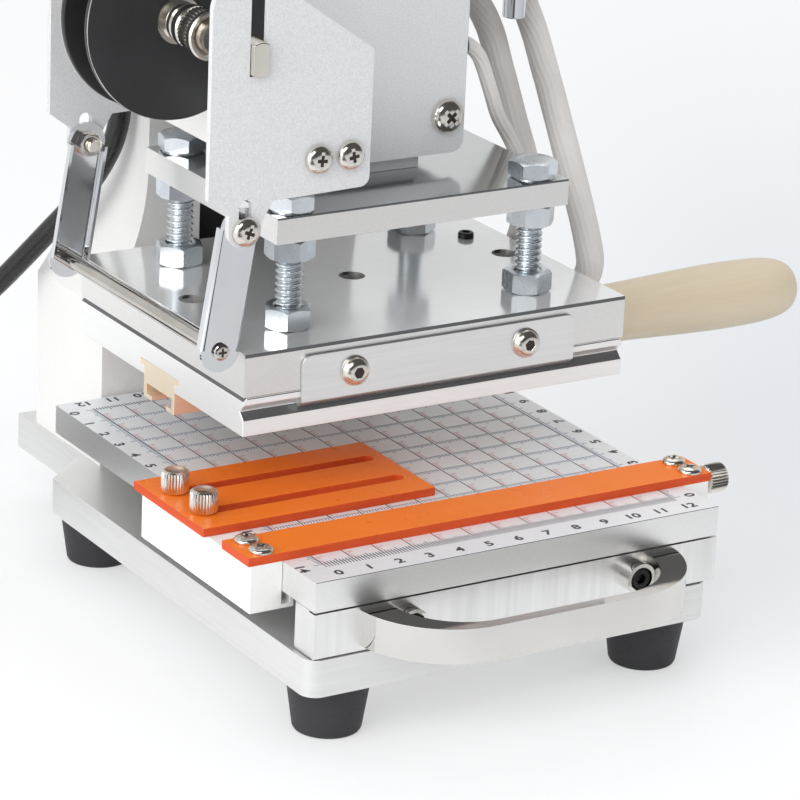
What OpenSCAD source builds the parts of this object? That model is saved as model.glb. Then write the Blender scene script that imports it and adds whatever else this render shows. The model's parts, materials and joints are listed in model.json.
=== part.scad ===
// Hot foil stamping machine, in millimetres; z is up, the front faces -y,
// and the origin is the centre of the four feet on the bench.

/* [Base] */
// Height of the rubber feet
foot_h = 17; // [12:0.5:25]
// Foot diameter under the base
foot_top_d = 25; // [20:0.5:27]
// Foot diameter on the bench
foot_bottom_d = 20; // [16:0.5:25]
// Foot spacing across
foot_pitch_x = 110; // [100:1:112]
// Foot spacing front to back
foot_pitch_y = 142; // [130:1:142]
// Base plate width
base_w = 138; // [136:1:160]
// Base front edge ahead of the foot centre
base_front = 86; // [85:0.5:95]
// Wide part of the base behind the foot centre
base_back = 73; // [72:0.5:90]
// Base plate thickness
base_t = 11.4; // [10:0.2:16]
// Base corner radius
base_corner_r = 5; // [3:0.5:10]
// Depth of the rear chamfers
base_chamfer = 15; // [10:1:20]
// Tail width
tail_w = 108; // [106:1:116]
// Tail end behind the foot centre
tail_back = 131; // [124:1:150]
// Base plate offset to the left
base_shift = 1.6; // [0:0.2:3]
/* [Table] */
// Table width
table_w = 138; // [134:1:150]
// Table front edge ahead of the foot centre
table_front = 85.4; // [85:0.2:95]
// Table depth
table_d = 160.2; // [155:0.2:161]
// Table plate thickness
table_t = 9.2; // [7:0.2:12]
// Room for the slide between base and table
slide_space = 14.4; // [14:0.2:20]
// Apron thickness
apron_t = 10.6; // [10:0.2:12]
// Gap between apron and base
apron_gap = 0.4; // [0.2:0.1:1]
// Table travel towards the user
table_travel = 90; // [60:1:95]
/* [Slide] */
// Dovetail rail width at the base
rail_w = 36; // [30:1:44]
// Widening of the dovetail on each side
rail_flare = 4; // [2:0.5:5]
// Dovetail rail height
rail_h = 9; // [8:0.5:10]
// Rail end ahead of the foot centre
rail_front = 73; // [68:1:74]
// Rail end behind the foot centre
rail_back = 70; // [64:1:72]
// Carriage width
carriage_w = 66; // [60:1:76]
// Carriage length
carriage_len = 120; // [110:1:125]
// Running clearance of the dovetail
slide_clear = 0.08; // [0.05:0.01:0.1]
// Travel pin diameter
pin_d = 5; // [4:0.5:6]
// Travel pin behind the foot centre
pin_y = 45; // [40:1:50]
/* [Table handle] */
// Handle length
pull_len = 108; // [104:1:116]
// Handle reach in front of the apron
pull_reach = 25.8; // [22:0.2:30]
// Handle height
pull_h = 10.6; // [10:0.2:13]
// Strap thickness in the middle
pull_t = 3.8; // [2:0.1:5]
// Handle foot width
pull_foot = 10; // [8:0.5:11]
// Outer bend radius
pull_outer_r = 29; // [26:1:34]
// Inner bend radius
pull_inner_r = 22; // [20:1:26]
// Screw boss diameter
pull_boss_d = 9.6; // [9:0.2:11]
// Screw boss length
pull_boss = 5; // [4.6:0.2:6]
// Handle screw spacing
pull_pitch = 78; // [76:1:80]
/* [Fence] */
// Left rail width
fence_w = 10.2; // [9:0.2:12]
// Rail height
fence_h = 14.4; // [14:0.2:16]
// Rail length
fence_len = 65; // [60:1:75]
// Rail front end ahead of the foot centre
fence_front = 67; // [62:1:70]
// Gap between rail and table edge
fence_gap = 0.1; // [0.05:0.05:0.2]
// Lip thickness
lip_t = 1.2; // [1:0.1:2]
// Lip reach under the table
lip_in = 4; // [3:0.5:6]
// Strip and side stop thickness
strip_t = 2.6; // [2:0.2:4]
// Strip depth
strip_d = 15.5; // [14:0.5:20]
// Strip overhang at the ends
strip_over = 0.8; // [0:0.2:1.5]
// Strip screw spacing
strip_pitch = 8.4; // [8:0.2:9.4]
// Right block width
fence_block_w = 9.3; // [9:0.1:12]
// Lock knob diameter
knob_d = 9; // [7:0.5:11]
// Lock knob length
knob_len = 7; // [5:0.5:10]
// Lock knob axis under the table top
knob_drop = 2.8; // [2.6:0.1:3.4]
// Fence travel to the back
fence_travel = 60; // [30:1:62]
/* [Side stop] */
// Stop plate length
stop_len = 78; // [70:1:84]
// Stop plate depth
stop_d = 42.5; // [40:0.5:46]
// Stop plate overhang over the rail
stop_over = 1.6; // [0:0.2:3]
// Stop plate rear edge behind the foot centre
stop_back = 0.5; // [-2:0.5:2]
// Slot width
slot_w = 4.2; // [4.2:0.1:5]
// Slot distance from the rear edge
slot_inset = 13; // [12:0.5:14]
// Slot spacing
slot_pitch = 17.5; // [16:0.5:18]
// Slot end from the plate's free end
slot_end = 4; // [3:0.5:6]
// Thumbscrew diameter
thumb_d = 8.3; // [7:0.1:9]
// Thumbscrew height
thumb_h = 7; // [5:0.5:9]
/* [Press] */
// Press centre behind the foot centre
press_y = 14.7; // [12:0.1:16]
// Underside of the heating block above the bench
block_z = 90; // [88:0.5:100]
// Block width
block_w = 131; // [126:1:133]
// Block depth
block_d = 101.6; // [98:0.2:108]
// Block thickness
block_t = 13; // [12.5:0.5:16]
// Room between block and upper plate
plate_gap = 27.5; // [24:0.5:30]
// Upper plate width
plate_w = 100; // [98:1:104]
// Upper plate depth
plate_d = 80; // [78:1:90]
// Upper plate thickness
plate_t = 8; // [7:0.5:10]
// Bolt spacing across
bolt_pitch_x = 83; // [80:0.5:86]
// Bolt spacing front to back
bolt_pitch_y = 66; // [62:0.5:66]
// Hex width across flats
hex_af = 13; // [12:0.5:14]
// Bolt head height
hex_head_h = 5.3; // [4.5:0.1:6]
// Nut height
hex_nut_h = 6.5; // [5.5:0.1:7.5]
// Heater cartridge diameter
heater_d = 8; // [6:0.5:9]
// Heater spacing
heater_pitch = 37.8; // [36:0.2:40]
// Heater length
heater_len = 110; // [90:1:115]
// Diameter of the three holes in the block
hole_d = 8; // [6:0.5:9]
// Spacing of the three holes
hole_pitch = 55; // [52:0.5:57]
// Hole depth
hole_deep = 10; // [8:0.5:11]
// Heater set screw from the block's right face
set_in = 12.7; // [10:0.1:16]
/* [Die plate] */
// Die plate thickness
die_t = 11.8; // [11.4:0.1:13]
// Gap between block and die plate
die_gap = 0.15; // [0.1:0.05:0.3]
// Lip above the V groove
groove_lip = 2.2; // [1.8:0.1:2.6]
// V groove width
groove_w = 4.8; // [4.4:0.1:5]
// Running clearance of the die plate
die_clear = 0.08; // [0.05:0.01:0.1]
// Clip length
clip_len = 94; // [84:1:98]
// Clip thickness
clip_t = 3; // [2.5:0.1:4]
// Clip top under the block's top
clip_drop = 2.8; // [2.5:0.1:4]
// Clip let into the block
clip_let = 1.9; // [1:0.1:2.2]
// Clip corner radius
clip_r = 3; // [2:0.5:5]
// Clip screw spacing
clip_pitch = 59; // [50:0.5:66]
// Clip screw above the block's underside
clip_screw_up = 3.6; // [3.4:0.1:4.4]
// Die plate travel to the right
die_travel = 80; // [40:1:90]
/* [Type holder] */
// Flange width
holder_flange_w = 24.4; // [22:0.2:25]
// Flange thickness
holder_flange_t = 1.6; // [1.4:0.1:2]
// Body width
holder_w = 19; // [17:0.2:20]
// Body height under the die plate
holder_drop = 7; // [6:0.2:8]
// Neck height inside the die plate
holder_neck = 2.9; // [2.6:0.1:3.1]
// Channel width
channel_w = 15.6; // [14:0.2:16]
// Channel height
channel_h = 3.2; // [2.8:0.1:4]
// Channel floor thickness
channel_t = 1.4; // [1:0.1:1.8]
// Slot width of the channel
type_slot_w = 9; // [6:0.2:10]
// Type holder travel to the left
holder_travel = 80; // [40:1:90]
/* [Wooden handle] */
// Handle length
grip_len = 90; // [75:1:105]
// Diameter at the die plate
grip_d0 = 17; // [15:0.5:18]
// Largest diameter
grip_d1 = 21.2; // [19:0.2:22]
// Stud diameter
stud_d = 5; // [4:0.5:5]
// Collar length between die plate and grip
collar_len = 2; // [1:0.5:4]
/* [Head] */
// Head width
head_w = 57; // [56:0.5:60]
// Side plate thickness
side_t = 10; // [9.5:0.5:10.5]
// Front panel face behind the foot centre
panel_y = 0.5; // [0:0.1:1]
// Panel thickness
panel_t = 2; // [1.5:0.1:2.4]
// Panel lower edge above the upper plate
panel_up = 4.3; // [4:0.1:5]
// Side plate lower edge above the upper plate
side_up = 7.5; // [7:0.5:9]
// Side plate height
side_h = 85; // [84:0.5:88]
// Hood height above the side plates
hood_h = 53; // [52:0.5:56]
// Sheet thickness
sheet_t = 1.5; // [1.2:0.1:2]
// Panel corner radius
panel_r = 4; // [2:0.5:6]
// Panel screw height above the panel's edge
panel_screw_up = 11.7; // [9:0.1:14]
/* [Column] */
// Column front face behind the foot centre
column_y = 76; // [75.5:0.5:78]
// Column depth
column_d = 45; // [44:0.5:48]
// Column width
column_w = 75; // [72:0.5:78]
// Column height above the base
column_h = 242; // [236:1:246]
// Flare radius
flare_r = 75; // [70:1:90]
// Straight part of the foot above the base
flare_low = 51.6; // [50:0.2:56]
// Start of the flare above the base
flare_up = 96.6; // [92:0.2:98]
// Foot height
column_foot_h = 16.6; // [15:0.2:20]
// Duct width
duct_w = 48; // [44:0.5:50]
// Front wall thickness
column_wall = 14; // [13.5:0.5:16]
// Recess width
recess_w = 38; // [34:0.5:42]
// Recess depth
recess_d = 4; // [3:0.5:5]
// Dark plate thickness
recess_plate_t = 2; // [1.5:0.5:2.5]
// Rear cover overhang beside the column
cover_over = 12.5; // [12:0.5:16]
// Rear cover depth behind the column
cover_back = 14; // [12:0.5:20]
// Rear cover height
cover_h = 112; // [108:0.5:116]
/* [Drive] */
// Gear module
gear_m = 1; // [0.98:0.02:1.02]
// Pinion teeth
gear_z = 16; // [16:1:16]
// Addendum in modules
gear_add = 0.85; // [0.8:0.01:0.9]
// Dedendum in modules
gear_ded = 1.15; // [1.1:0.01:1.2]
// Backlash
gear_play = 0.16; // [0.12:0.02:0.3]
// Pinion width
pinion_w = 12; // [10:0.5:13]
// Shaft diameter
shaft_d = 12; // [11:0.5:13]
// Shaft height above the upper plate
shaft_up = 55.5; // [54:0.5:57]
// Ram width
ram_w = 30; // [28:0.5:32]
// Ram depth
ram_d = 16; // [15:0.5:17]
// Ram height above its foot
ram_h = 87; // [86:0.5:89]
// Foot thickness
ram_foot_t = 4; // [3.5:0.1:4.2]
// Foot front edge behind the panel
ram_foot_in = 1.2; // [1:0.1:2]
// Foot depth
ram_foot_d = 22; // [20:0.5:24]
// Ram clearance in its guides
ram_clear = 0.05; // [0.03:0.01:0.08]
// Lower guide height
guide_low_h = 22; // [20:0.5:24]
// Upper guide height
guide_top_h = 12; // [10:0.5:12]
// Shaft clearance in the bushes
shaft_clear = 0.05; // [0.03:0.01:0.08]
/* [Lever] */
// Hub diameter
hub_d = 20; // [18:0.5:22]
// Rod plane to the right of the centre
rod_x = 63.2; // [61:0.1:66]
// Rod diameter
rod_d = 7; // [6:0.5:8]
// Rod end under the shaft
rod_low = 20; // [16:0.5:22]
// Rod end above the shaft
rod_high = 182; // [150:1:200]
// Ball diameter
ball_d = 30; // [25:1:34]
// Spring wire diameter
wire_d = 2; // [1.8:0.1:2.2]
// Spring mean radius
spring_r = 8.2; // [8:0.1:8.6]
// Spring pitch
spring_pitch = 2.7; // [2.6:0.05:2.9]
/* [Foil reel] */
// Bracket distance front to back, outer faces
bracket_span = 100; // [96:0.5:101]
// Bracket front face ahead of the foot centre
bracket_front = 36; // [35.5:0.1:38]
// Bracket sheet thickness
bracket_t = 2; // [1.8:0.1:2.4]
// Tie bar width
tie_w = 19.5; // [18:0.5:21]
// Tie bar height
tie_h = 14.6; // [13:0.2:15]
// Tie bar above the upper plate
tie_up = 10; // [9:0.2:11]
// Reel axis to the left
reel_x = 64.1; // [63.5:0.1:65]
// Reel axis above the upper plate
reel_up = 51.1; // [50:0.1:53]
// Reel shaft diameter
reel_shaft_d = 10; // [9:0.5:10.5]
// Flats on the shaft ends
reel_flat = 5; // [4:0.1:5.2]
// Disc diameter
disc_d = 59; // [56:0.5:60]
// Disc thickness
disc_t = 2.2; // [1.8:0.1:3]
// Disc spacing
disc_pitch = 14.5; // [12:0.5:20]
// Front disc face behind the foot centre
disc_y = 10; // [8:0.5:12]
// Hub sleeve diameter
reel_hub_d = 14; // [13.5:0.5:16]
// Knurled nut diameter
reel_nut_d = 13.4; // [12.5:0.1:14.5]
// Knurled nut length
reel_nut_len = 19.5; // [17:0.5:22]
// Running clearance of the hub
reel_clear = 0.06; // [0.04:0.01:0.1]
// Pivot to the left
pivot_x = 66.8; // [66.4:0.1:67.4]
// Pivot above the upper plate
pivot_up = 1.5; // [1.2:0.1:2]
// Arm length between its screws
arm_len = 36; // [34:0.5:38]
// Arm lean at rest in degrees
arm_lean = 9; // [8.5:0.5:12]
// Arm width
arm_w = 12.4; // [12:0.2:13]
// Arm sheet thickness
arm_t = 0.9; // [0.8:0.1:1.2]
// Arm flange depth
arm_flange = 2.2; // [1.6:0.2:3]
// Roller diameter
roller_d = 5; // [4.4:0.2:6]
/* [Electrics] */
// Controller bezel
bezel_w = 48; // [47:0.5:49]
// Bezel depth
bezel_d = 8; // [6:0.5:10]
// Controller body width
ctrl_w = 44.6; // [44:0.1:45]
// Controller body depth
ctrl_d = 58; // [50:1:66]
// Key width
key_w = 8; // [6:0.5:9]
// Key height
key_h = 5; // [4:0.5:6]
// Key travel
key_travel = 0.6; // [0.4:0.1:1]
// Switch cut-out depth
switch_d = 12; // [11:0.5:13]
// Switch cut-out height
switch_h = 19; // [18:0.5:21]
// Power cord diameter
cord_d = 6.8; // [6.4:0.1:7]
// Heater sleeve diameter
sleeve_d = 8.6; // [7.6:0.2:9]
// Sensor lead diameter
sensor_d = 4.6; // [4:0.2:5]
// Coil radius
coil_r = 46; // [45:1:50]
// Coil pitch
coil_pitch = 7.9; // [7.8:0.1:8.4]
// Coil layer height
coil_layer = 7.7; // [7.6:0.1:8.2]

/* [Hidden] */
// Smooth curves
$fn = 64;
// Small gap that keeps two solids of one body apart
seat = 0.05;
// Overrun of every cut
cut = 1;

// Heights
base_top = foot_h + base_t;
table_z0 = base_top + slide_space;
table_z1 = table_z0 + table_t;
block_z1 = block_z + block_t;
plate_z0 = block_z1 + plate_gap;
plate_z1 = plate_z0 + plate_t;
side_z0 = plate_z1 + side_up;
side_z1 = side_z0 + side_h;
cover_gap = 0.2;
roof_room = 2;
head_z1 = max(side_z1 + hood_h, base_top + column_h + cover_gap + sheet_t + roof_room);
panel_z0 = plate_z1 + panel_up;
shaft_z = plate_z1 + shaft_up;

// Table and slide
table_x = table_w / 2;
table_y0 = -table_front;
table_y1 = table_y0 + table_d;
rail_z1 = base_top + rail_h;
rail_roof = 0.5;
pin_groove = 4;
carriage_up = 1.6;
apron_z0 = base_top + apron_gap;

// Socket screws of the frame, one size, and of the table, one size
cap_d = 6;
cap_head_d = 10;
cap_head_h = 6;
cap_len = 12;
cap_room = 0.4;
m5_d = 5;
m5_head_d = 8.5;
m5_head_h = 5;
m5_len = 9;
foot_screw_z = 9;
rail_screw_y = 60;
column_screw_x = 40;
column_screw_in = 10;

// Handle
pull_z = apron_z0 + (table_z0 - apron_z0) / 2;
pull_floor = 1;
pull_head_d = 7;
pull_head_h = 3.8;
pull_screw_len = 9;
shadow_gap = 0.5;
shadow_in = 3;

// Fence
rail_x0 = table_x + fence_gap;
rail_x1 = rail_x0 + fence_w;
rail_mid = (rail_x0 + rail_x1) / 2;
fblock_x1 = rail_x0 + fence_block_w;
fblock_mid = (rail_x0 + fblock_x1) / 2;
fence_z0 = table_z1 - fence_h;
fence_y0 = -fence_front;
fence_y1 = fence_y0 + fence_len;
strip_z1 = table_z1 + strip_t;
strip_mid = fence_y0 + strip_d / 2;
lip_up = 3.2;
m4_d = 4;
pan_d = 7.2;
pan_h = 1.8;
strip_screw_len = 9;
knob_stem_d = 5.4;
knob_stem = 3;
knob_bore_d = 3;
stop_x0 = -rail_x1 - stop_over;
stop_y1 = stop_back;
stop_y0 = stop_y1 - stop_d;
slot_y = [stop_y1 - slot_inset, stop_y1 - slot_inset - slot_pitch];
slot_x1 = stop_x0 + stop_len - slot_end;
thumb_len = 11;

// Press
block_x = block_w / 2;
block_y0 = press_y - block_d / 2;
block_y1 = press_y + block_d / 2;
bolt_d = 8;
bolt_in = 11;
heater_z = block_z + block_t / 2;
heater_y = [press_y - heater_pitch / 2, press_y + heater_pitch / 2];
set_d = 5;
set_x = block_x - set_in;
sensor_y = press_y + 9.4;
button_d = 9;
button_h = 2.8;
button_len = 10;
ram_screw_x = 9;

// Die plate
die_z1 = block_z - die_gap;
die_z0 = die_z1 - die_t;
groove_z1 = die_z1 - groove_lip;
groove_deep = groove_w / 2;
clip_z1 = block_z1 - clip_drop;
clip_toe = 1.05;
clip_out = clip_t - clip_let;

// Type holder
holder_z2 = die_z0 + holder_neck + holder_flange_t;
holder_z1 = die_z0 + holder_neck;
holder_z0 = die_z0 - holder_drop;
holder_play = 0.06;

// Wooden handle
grip_y = press_y - holder_flange_w / 2 - stud_d / 2 - 0.6;
grip_z = die_z0 + die_t / 2;
stud_in = 14;
stud_out = 30;
grip_x0 = block_x + collar_len;

// Head
head_x = head_w / 2;
side_x0 = head_x - side_t;
panel_y1 = panel_y + panel_t;
panel_screw_x = head_x - 6.6;
ram_y0 = panel_y1 + ram_foot_in + 2;
ram_y1 = ram_y0 + ram_d;
ram_foot_y0 = panel_y1 + ram_foot_in;
ram_foot_z1 = plate_z1 + ram_foot_t;
ram_z1 = ram_foot_z1 + ram_h;
guide_y1 = ram_y1 + 18.3;
guide_screw_y = ram_y1 + 11.3;
guide_low_z1 = side_z0 + guide_low_h;
guide_over = 11;
guide_top_z0 = shaft_z + guide_over;
column_y1 = column_y + column_d;
column_x = column_w / 2;
column_z1 = base_top + column_h;
flare_z = base_top + flare_up;
foot_z1 = base_top + column_foot_h;
flare_fall = flare_up - flare_low;
foot_x = column_x + flare_r - sqrt(flare_r * flare_r - flare_fall * flare_fall);
duct_x = duct_w / 2;
duct_y0 = column_y + column_wall;
recess_up = 8;
recess_short = 1;
recess_z0 = base_top + recess_up;
recess_z1 = plate_z1 - recess_short;
head_bolt_x = (side_x0 + head_x) / 2;
head_bolt_low = 20;
head_bolt_high = 72;
head_bolt_z = [side_z0 + head_bolt_low, side_z0 + head_bolt_high];
cover_x = column_x + cover_over;
cover_step = 1;
cover_y0 = column_y + cover_step;
cover_y1 = column_y1 + cover_back;
cover_z0 = head_z1 - cover_h;

// Drive
pitch_r = gear_m * gear_z / 2;
shaft_y = ram_y1 - gear_add * gear_m + pitch_r;
tooth_p = PI * gear_m;
press_angle = 20;
base_r = pitch_r * cos(press_angle);
tip_r = pitch_r + gear_add * gear_m;
root_r = pitch_r - gear_ded * gear_m;
rack_half = pinion_w / 2 + 0.5;
rack_first = -3;
rack_last = 7;
bush_d = 20;
bush_flange_d = 24;
bush_flange = 2;
shaft_x0 = head_x + bush_flange + 1;
hub_x0 = head_x + 15.5;
hub_x1 = rod_x + 10;
shaft_x1 = rod_x - rod_d / 2 - 1.5;
spring_turns = 3;
spring_x0 = head_x + bush_flange + 0.5 + wire_d / 2;
ball_z = shaft_z + rod_high;

// Foil reel
bracket_y0 = -bracket_front;
bracket_y1 = bracket_y0 + bracket_span;
reel_z = plate_z1 + reel_up;
pivot_z = plate_z1 + pivot_up;
tie_x0 = head_x;
tie_x1 = head_x + tie_w;
tie_z0 = plate_z1 + tie_up;
tie_z1 = tie_z0 + tie_h;
bracket_screw_x = [tie_x0 + 5, tie_x0 + 15.4];
bracket_screw_z = tie_z0 + 10;
tie_screw_in = 12;
tie_screw_back = 29.5;
tie_screw_x = 5.5;
tab_half = 5.3;
flat_room = 0.1;
pan4_d = 8.6;
pan4_h = 3;
pan4_len = 8;
nut4_af = 7;
nut4_h = 3;
arm_play = 0.05;
arm_r = arm_w / 2;
flange_top = 0.5;
journal_d = 3;
roller_head_d = 5;
roller_head_h = 1.4;
roller_x = -pivot_x - arm_len * sin(arm_lean);
roller_z = pivot_z - arm_len * cos(arm_lean);

// Electrics
ctrl_z = (side_z1 + head_z1) / 2;
bezel_y = panel_y - bezel_d;
key_x = 9;
key_z = ctrl_z - bezel_w / 2 + 8;
key_out = 0.8;
key_deep = 3;
key_play = 0.05;
switch_in = 30;
switch_up = 60;
switch_y = column_y + switch_in;
switch_z = cover_z0 + switch_up;
switch_rim = 1.6;
rocker_r = 9;
gland_x = -(column_x + cover_x - sheet_t) / 2;
gland_in = 10;
gland_y = cover_y0 + gland_in;
gland_d = 10;
gland_h = 6;
relief_len = 14;
relief_z = cover_z0 - relief_len;
relief_over = 0.6;
relief_less = 1;
ring_t = 2.4;
ring_over = 4;
ring_room = 0.8;
cord_straight = 6;
lead_b_y = 66;
lead_b_z = side_z0 + 60;
lead_a_y = 64;
lead_a_z = side_z0 + 42;
sensor_hole_y = panel_y1 + 5;
sensor_hole_z = side_z0 + 28;

// Routes of the cords, chosen by hand
lead_front_pts = [[head_x, lead_b_y, lead_b_z], [42, 66, lead_b_z], [56, 63, 202], [68, 56, 192],
    [75, 48, 180], [76, 38, 169], [73.4, 25, 157], [70.6, 13, 146], [69.8, 3, 132],
    [70.6, -4, 118], [72.2, -6.5, 107], [73, -5.6, 101], [71, heater_y[0], heater_z],
    [block_x + seat, heater_y[0], heater_z]];
lead_rear_pts = [[head_x, lead_a_y, lead_a_z], [42, 64, lead_a_z], [55, 61, 184], [63, 56, 177],
    [66.5, 48, 167], [65, 37, 155], [64.5, 28, 142], [67, 24, 129], [70.4, 26, 117],
    [72.5, 30.5, 107], [73, 33.2, 100.5], [71, heater_y[1], heater_z],
    [block_x + seat, heater_y[1], heater_z]];
sensor_pts = [[head_x, sensor_hole_y, sensor_hole_z], [33, 7.4, sensor_hole_z - 0.5], [37, 6.6, 169],
    [40, 5, 160],
    [44, 6, 151], [51, 10, 142.5], [58, 14, 133], [64, 17.5, 122], [68, 20.5, 111], [69.6, 23, 102],
    [69.4, sensor_y, heater_z], [block_x + seat, sensor_y, heater_z]];
coil_c = [-153.5, 147.6];
coil_lift = 1.2;
coil_z = coil_lift + cord_d / 2;
coil_start = 80;
coil_in = 990;
coil_climb = 60;
coil_out = 870;
coil_steps = 24;
coil_tail = 48;
coil_run = 10;
coil_begin = [coil_c[0] + coil_r * cos(coil_start) + cord_d * sin(coil_start),
    coil_c[1] + coil_r * sin(coil_start) - cord_d * cos(coil_start), coil_z];
coil_side = [sin(coil_start), -cos(coil_start), 0];
cord_pts = [[gland_x, gland_y, relief_z], [gland_x, gland_y, relief_z - cord_straight], [-42.6, 86.2,
    145.5],
    [-42.6, 86, 139], [-43.6, 87.6, 131], [-45.2, 90, 124.5], [-47.4, 93.2, 118], [-51, 99.4, 108],
    [-56, 107.6, 97], [-65, 122, 78], [-72, 133, 65], [-80, 145, 51], [-89, 157, 38], [-98.5, 168, 26],
    [-108.5, 178.5, 15], coil_begin + 2 * coil_run * coil_side + [0, -0.8, 2.6],
    coil_begin + coil_run * coil_side, coil_begin];
tie_band = 0.9;
tie_wide = 8;
plug_d = 24;
plug_len = 34;
plug_pin_d = 4.8;
plug_pin_len = 19;
plug_pin_pitch = 15;
// Node names
// Node to draw

function unit(v) = v / norm(v);
function lean(p, i) = i == 0 ? p[1] - p[0] : i == len(p) - 1 ? p[i] - p[i - 1]
    : unit(p[i + 1] - p[i]) + unit(p[i] - p[i - 1]);

// Round tube of n sides along the points p; w is never parallel to the run
module tube(p, r, n, w) {
    last = len(p) - 1;
    pts = [for (i = [0:last]) let (t = unit(lean(p, i)), a = unit(cross(t, w)), b = cross(t, a))
        for (k = [0:n - 1]) p[i] + r * (cos(360 * k / n) * a + sin(360 * k / n) * b)];
    sides = [for (i = [0:last - 1]) for (k = [0:n - 1]) let (j = (k + 1) % n)
        each [[i * n + k, (i + 1) * n + k, (i + 1) * n + j], [i * n + k, (i + 1) * n + j, i * n + j]]];
    polyhedron(pts, concat(sides, [[for (k = [0:n - 1]) k]], [[for (k = [n - 1:-1:0]) last * n + k]]));
}

module span(x0, x1, y0, y1, z0, z1) translate([x0, y0, z0]) cube([x1 - x0, y1 - y0, z1 - z0]);
module rod_x_(x0, x1, d) translate([x0, 0, 0]) rotate([0, 90, 0]) cylinder(h = x1 - x0, d = d);
module rod_y_(y0, y1, d) translate([0, y0, 0]) rotate([-90, 0, 0]) cylinder(h = y1 - y0, d = d);
module rod_z_(z0, z1, d) translate([0, 0, z0]) cylinder(h = z1 - z0, d = d);
// Outline drawn in x and z, standing from y0 to y1
module sheet_xz(y0, y1) translate([0, y1, 0]) rotate([90, 0, 0]) linear_extrude(y1 - y0) children();
// Outline drawn in y and z, standing from x0 to x1
module sheet_yz(x0, x1) translate([x0, 0, 0]) rotate([90, 0, 90]) linear_extrude(x1 - x0) children();
module both_sides() {
    children();
    mirror([1, 0, 0]) children();
}

// Socket screw: head under z = 0, shank above it
module cap_screw() {
    rod_z_(-cap_head_h, 0, cap_head_d);
    rod_z_(0, cap_len, cap_d);
}
module cap_bore(deep) {
    rod_z_(-deep, 0, cap_head_d + cap_room);
    rod_z_(-seat, cap_len + cut, cap_d + 2 * seat);
}
module m5_screw() {
    rod_z_(-m5_head_h, 0, m5_head_d);
    rod_z_(0, m5_len, m5_d);
}
module m5_bore(deep) {
    rod_z_(-deep, 0, m5_head_d + cap_room);
    rod_z_(-seat, m5_len + cut, m5_d + 2 * seat);
}

module at_feet() for (x = [-1, 1], y = [-1, 1])
    translate([x * foot_pitch_x / 2, y * foot_pitch_y / 2, foot_screw_z]) children();
module at_rail_screws() for (y = [-1, 1])
    translate([0, y * rail_screw_y, rail_z1 - cap_head_h - 0.5]) rotate([180, 0, 0]) children();
module at_column_screws() for (x = [-1, 1], y = [column_y + column_screw_in, column_y1 - column_screw_in])
    translate([x * column_screw_x, y, foot_h + cap_head_h + 0.5]) children();
module at_head_bolts() for (x = [-1, 1], z = head_bolt_z)
    translate([x * head_bolt_x, column_y + 4, z]) rotate([90, 0, 0]) children();
module at_guide_screws() both_sides() for (z = [side_z0 + guide_low_h / 2, guide_top_z0 + guide_top_h / 2])
    translate([head_x - cap_head_h, guide_screw_y, z]) rotate([0, -90, 0]) children();
module at_tie_screws() for (y = [panel_y1 + tie_screw_in, column_y - tie_screw_back])
    translate([-head_x - tie_screw_x, y, tie_z0 + tie_h / 2]) rotate([0, 90, 0]) children();

module base_outline() {
    x = base_w / 2;
    translate([-base_shift, 0]) {
        translate([-x, -base_front + base_corner_r]) square([base_w,
            base_front + base_back - base_corner_r]);
        translate([-x + base_corner_r, -base_front]) square([base_w - 2 * base_corner_r,
            base_corner_r + cut]);
        for (s = [-1, 1]) translate([s * (x - base_corner_r),
            -base_front + base_corner_r]) circle(base_corner_r);
    }
    polygon([[-x - base_shift, base_back - cut], [x - base_shift, base_back - cut], [x - base_shift,
        base_back],
        [tail_w / 2, base_back + base_chamfer], [tail_w / 2, tail_back], [-tail_w / 2, tail_back],
        [-tail_w / 2, base_back + base_chamfer], [-x - base_shift, base_back]]);
}

module base_plate() color("silver") difference() {
    translate([0, 0, foot_h]) linear_extrude(base_t) base_outline();
    at_feet() cap_bore(cut);
    at_rail_screws() cap_bore(cut);
    at_column_screws() cap_bore(cap_head_h + cut);
}

module rubber_feet() color("black") difference() {
    for (x = [-1, 1], y = [-1, 1]) translate([x * foot_pitch_x / 2, y * foot_pitch_y / 2, 0])
        cylinder(h = foot_h, d1 = foot_bottom_d, d2 = foot_top_d);
    at_feet() cap_bore(foot_screw_z + cut);
}

module frame_screws() color("dimgray") {
    at_feet() cap_screw();
    at_rail_screws() cap_screw();
    at_column_screws() cap_screw();
    at_head_bolts() cap_screw();
    at_guide_screws() cap_screw();
    at_tie_screws() cap_screw();
}

module column() color("whitesmoke") difference() {
    sheet_xz(column_y, column_y1) difference() {
        union() {
            translate([-foot_x, base_top]) square([2 * foot_x, flare_z - base_top]);
            translate([-column_x, base_top]) square([column_w, column_h]);
        }
        for (s = [-1, 1]) translate([s * (column_x + flare_r), flare_z]) circle(flare_r, $fn = 180);
    }
    span(-duct_x, duct_x, duct_y0, column_y1 + cut, foot_z1, column_z1 - 8);
    span(-recess_w / 2, recess_w / 2, column_y - cut, column_y + recess_d, recess_z0, recess_z1);
    at_column_screws() cap_bore(cut);
    at_head_bolts() cap_bore(column_wall);
}

module column_front_plate() color("black") span(-recess_w / 2 + seat, recess_w / 2 - seat,
    column_y + recess_d - recess_plate_t, column_y + recess_d, recess_z0 + seat, recess_z1 - seat);

module rail_outline(c) polygon([[-rail_w / 2 - c, base_top - c], [rail_w / 2 + c, base_top - c],
    [rail_w / 2 + rail_flare + c, rail_z1], [-rail_w / 2 - rail_flare - c, rail_z1]]);

module slide_rail() color("gray") difference() {
    sheet_xz(-rail_front, rail_back) rail_outline(0);
    at_rail_screws() cap_bore(cap_head_h + cut);
    span(-pin_d / 2 - 0.1, pin_d / 2 + 0.1, pin_y - table_travel - pin_d / 2 - 0.1, pin_y + pin_d / 2 + 0.1,
        rail_z1 - pin_groove, rail_z1 + cut);
}

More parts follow.
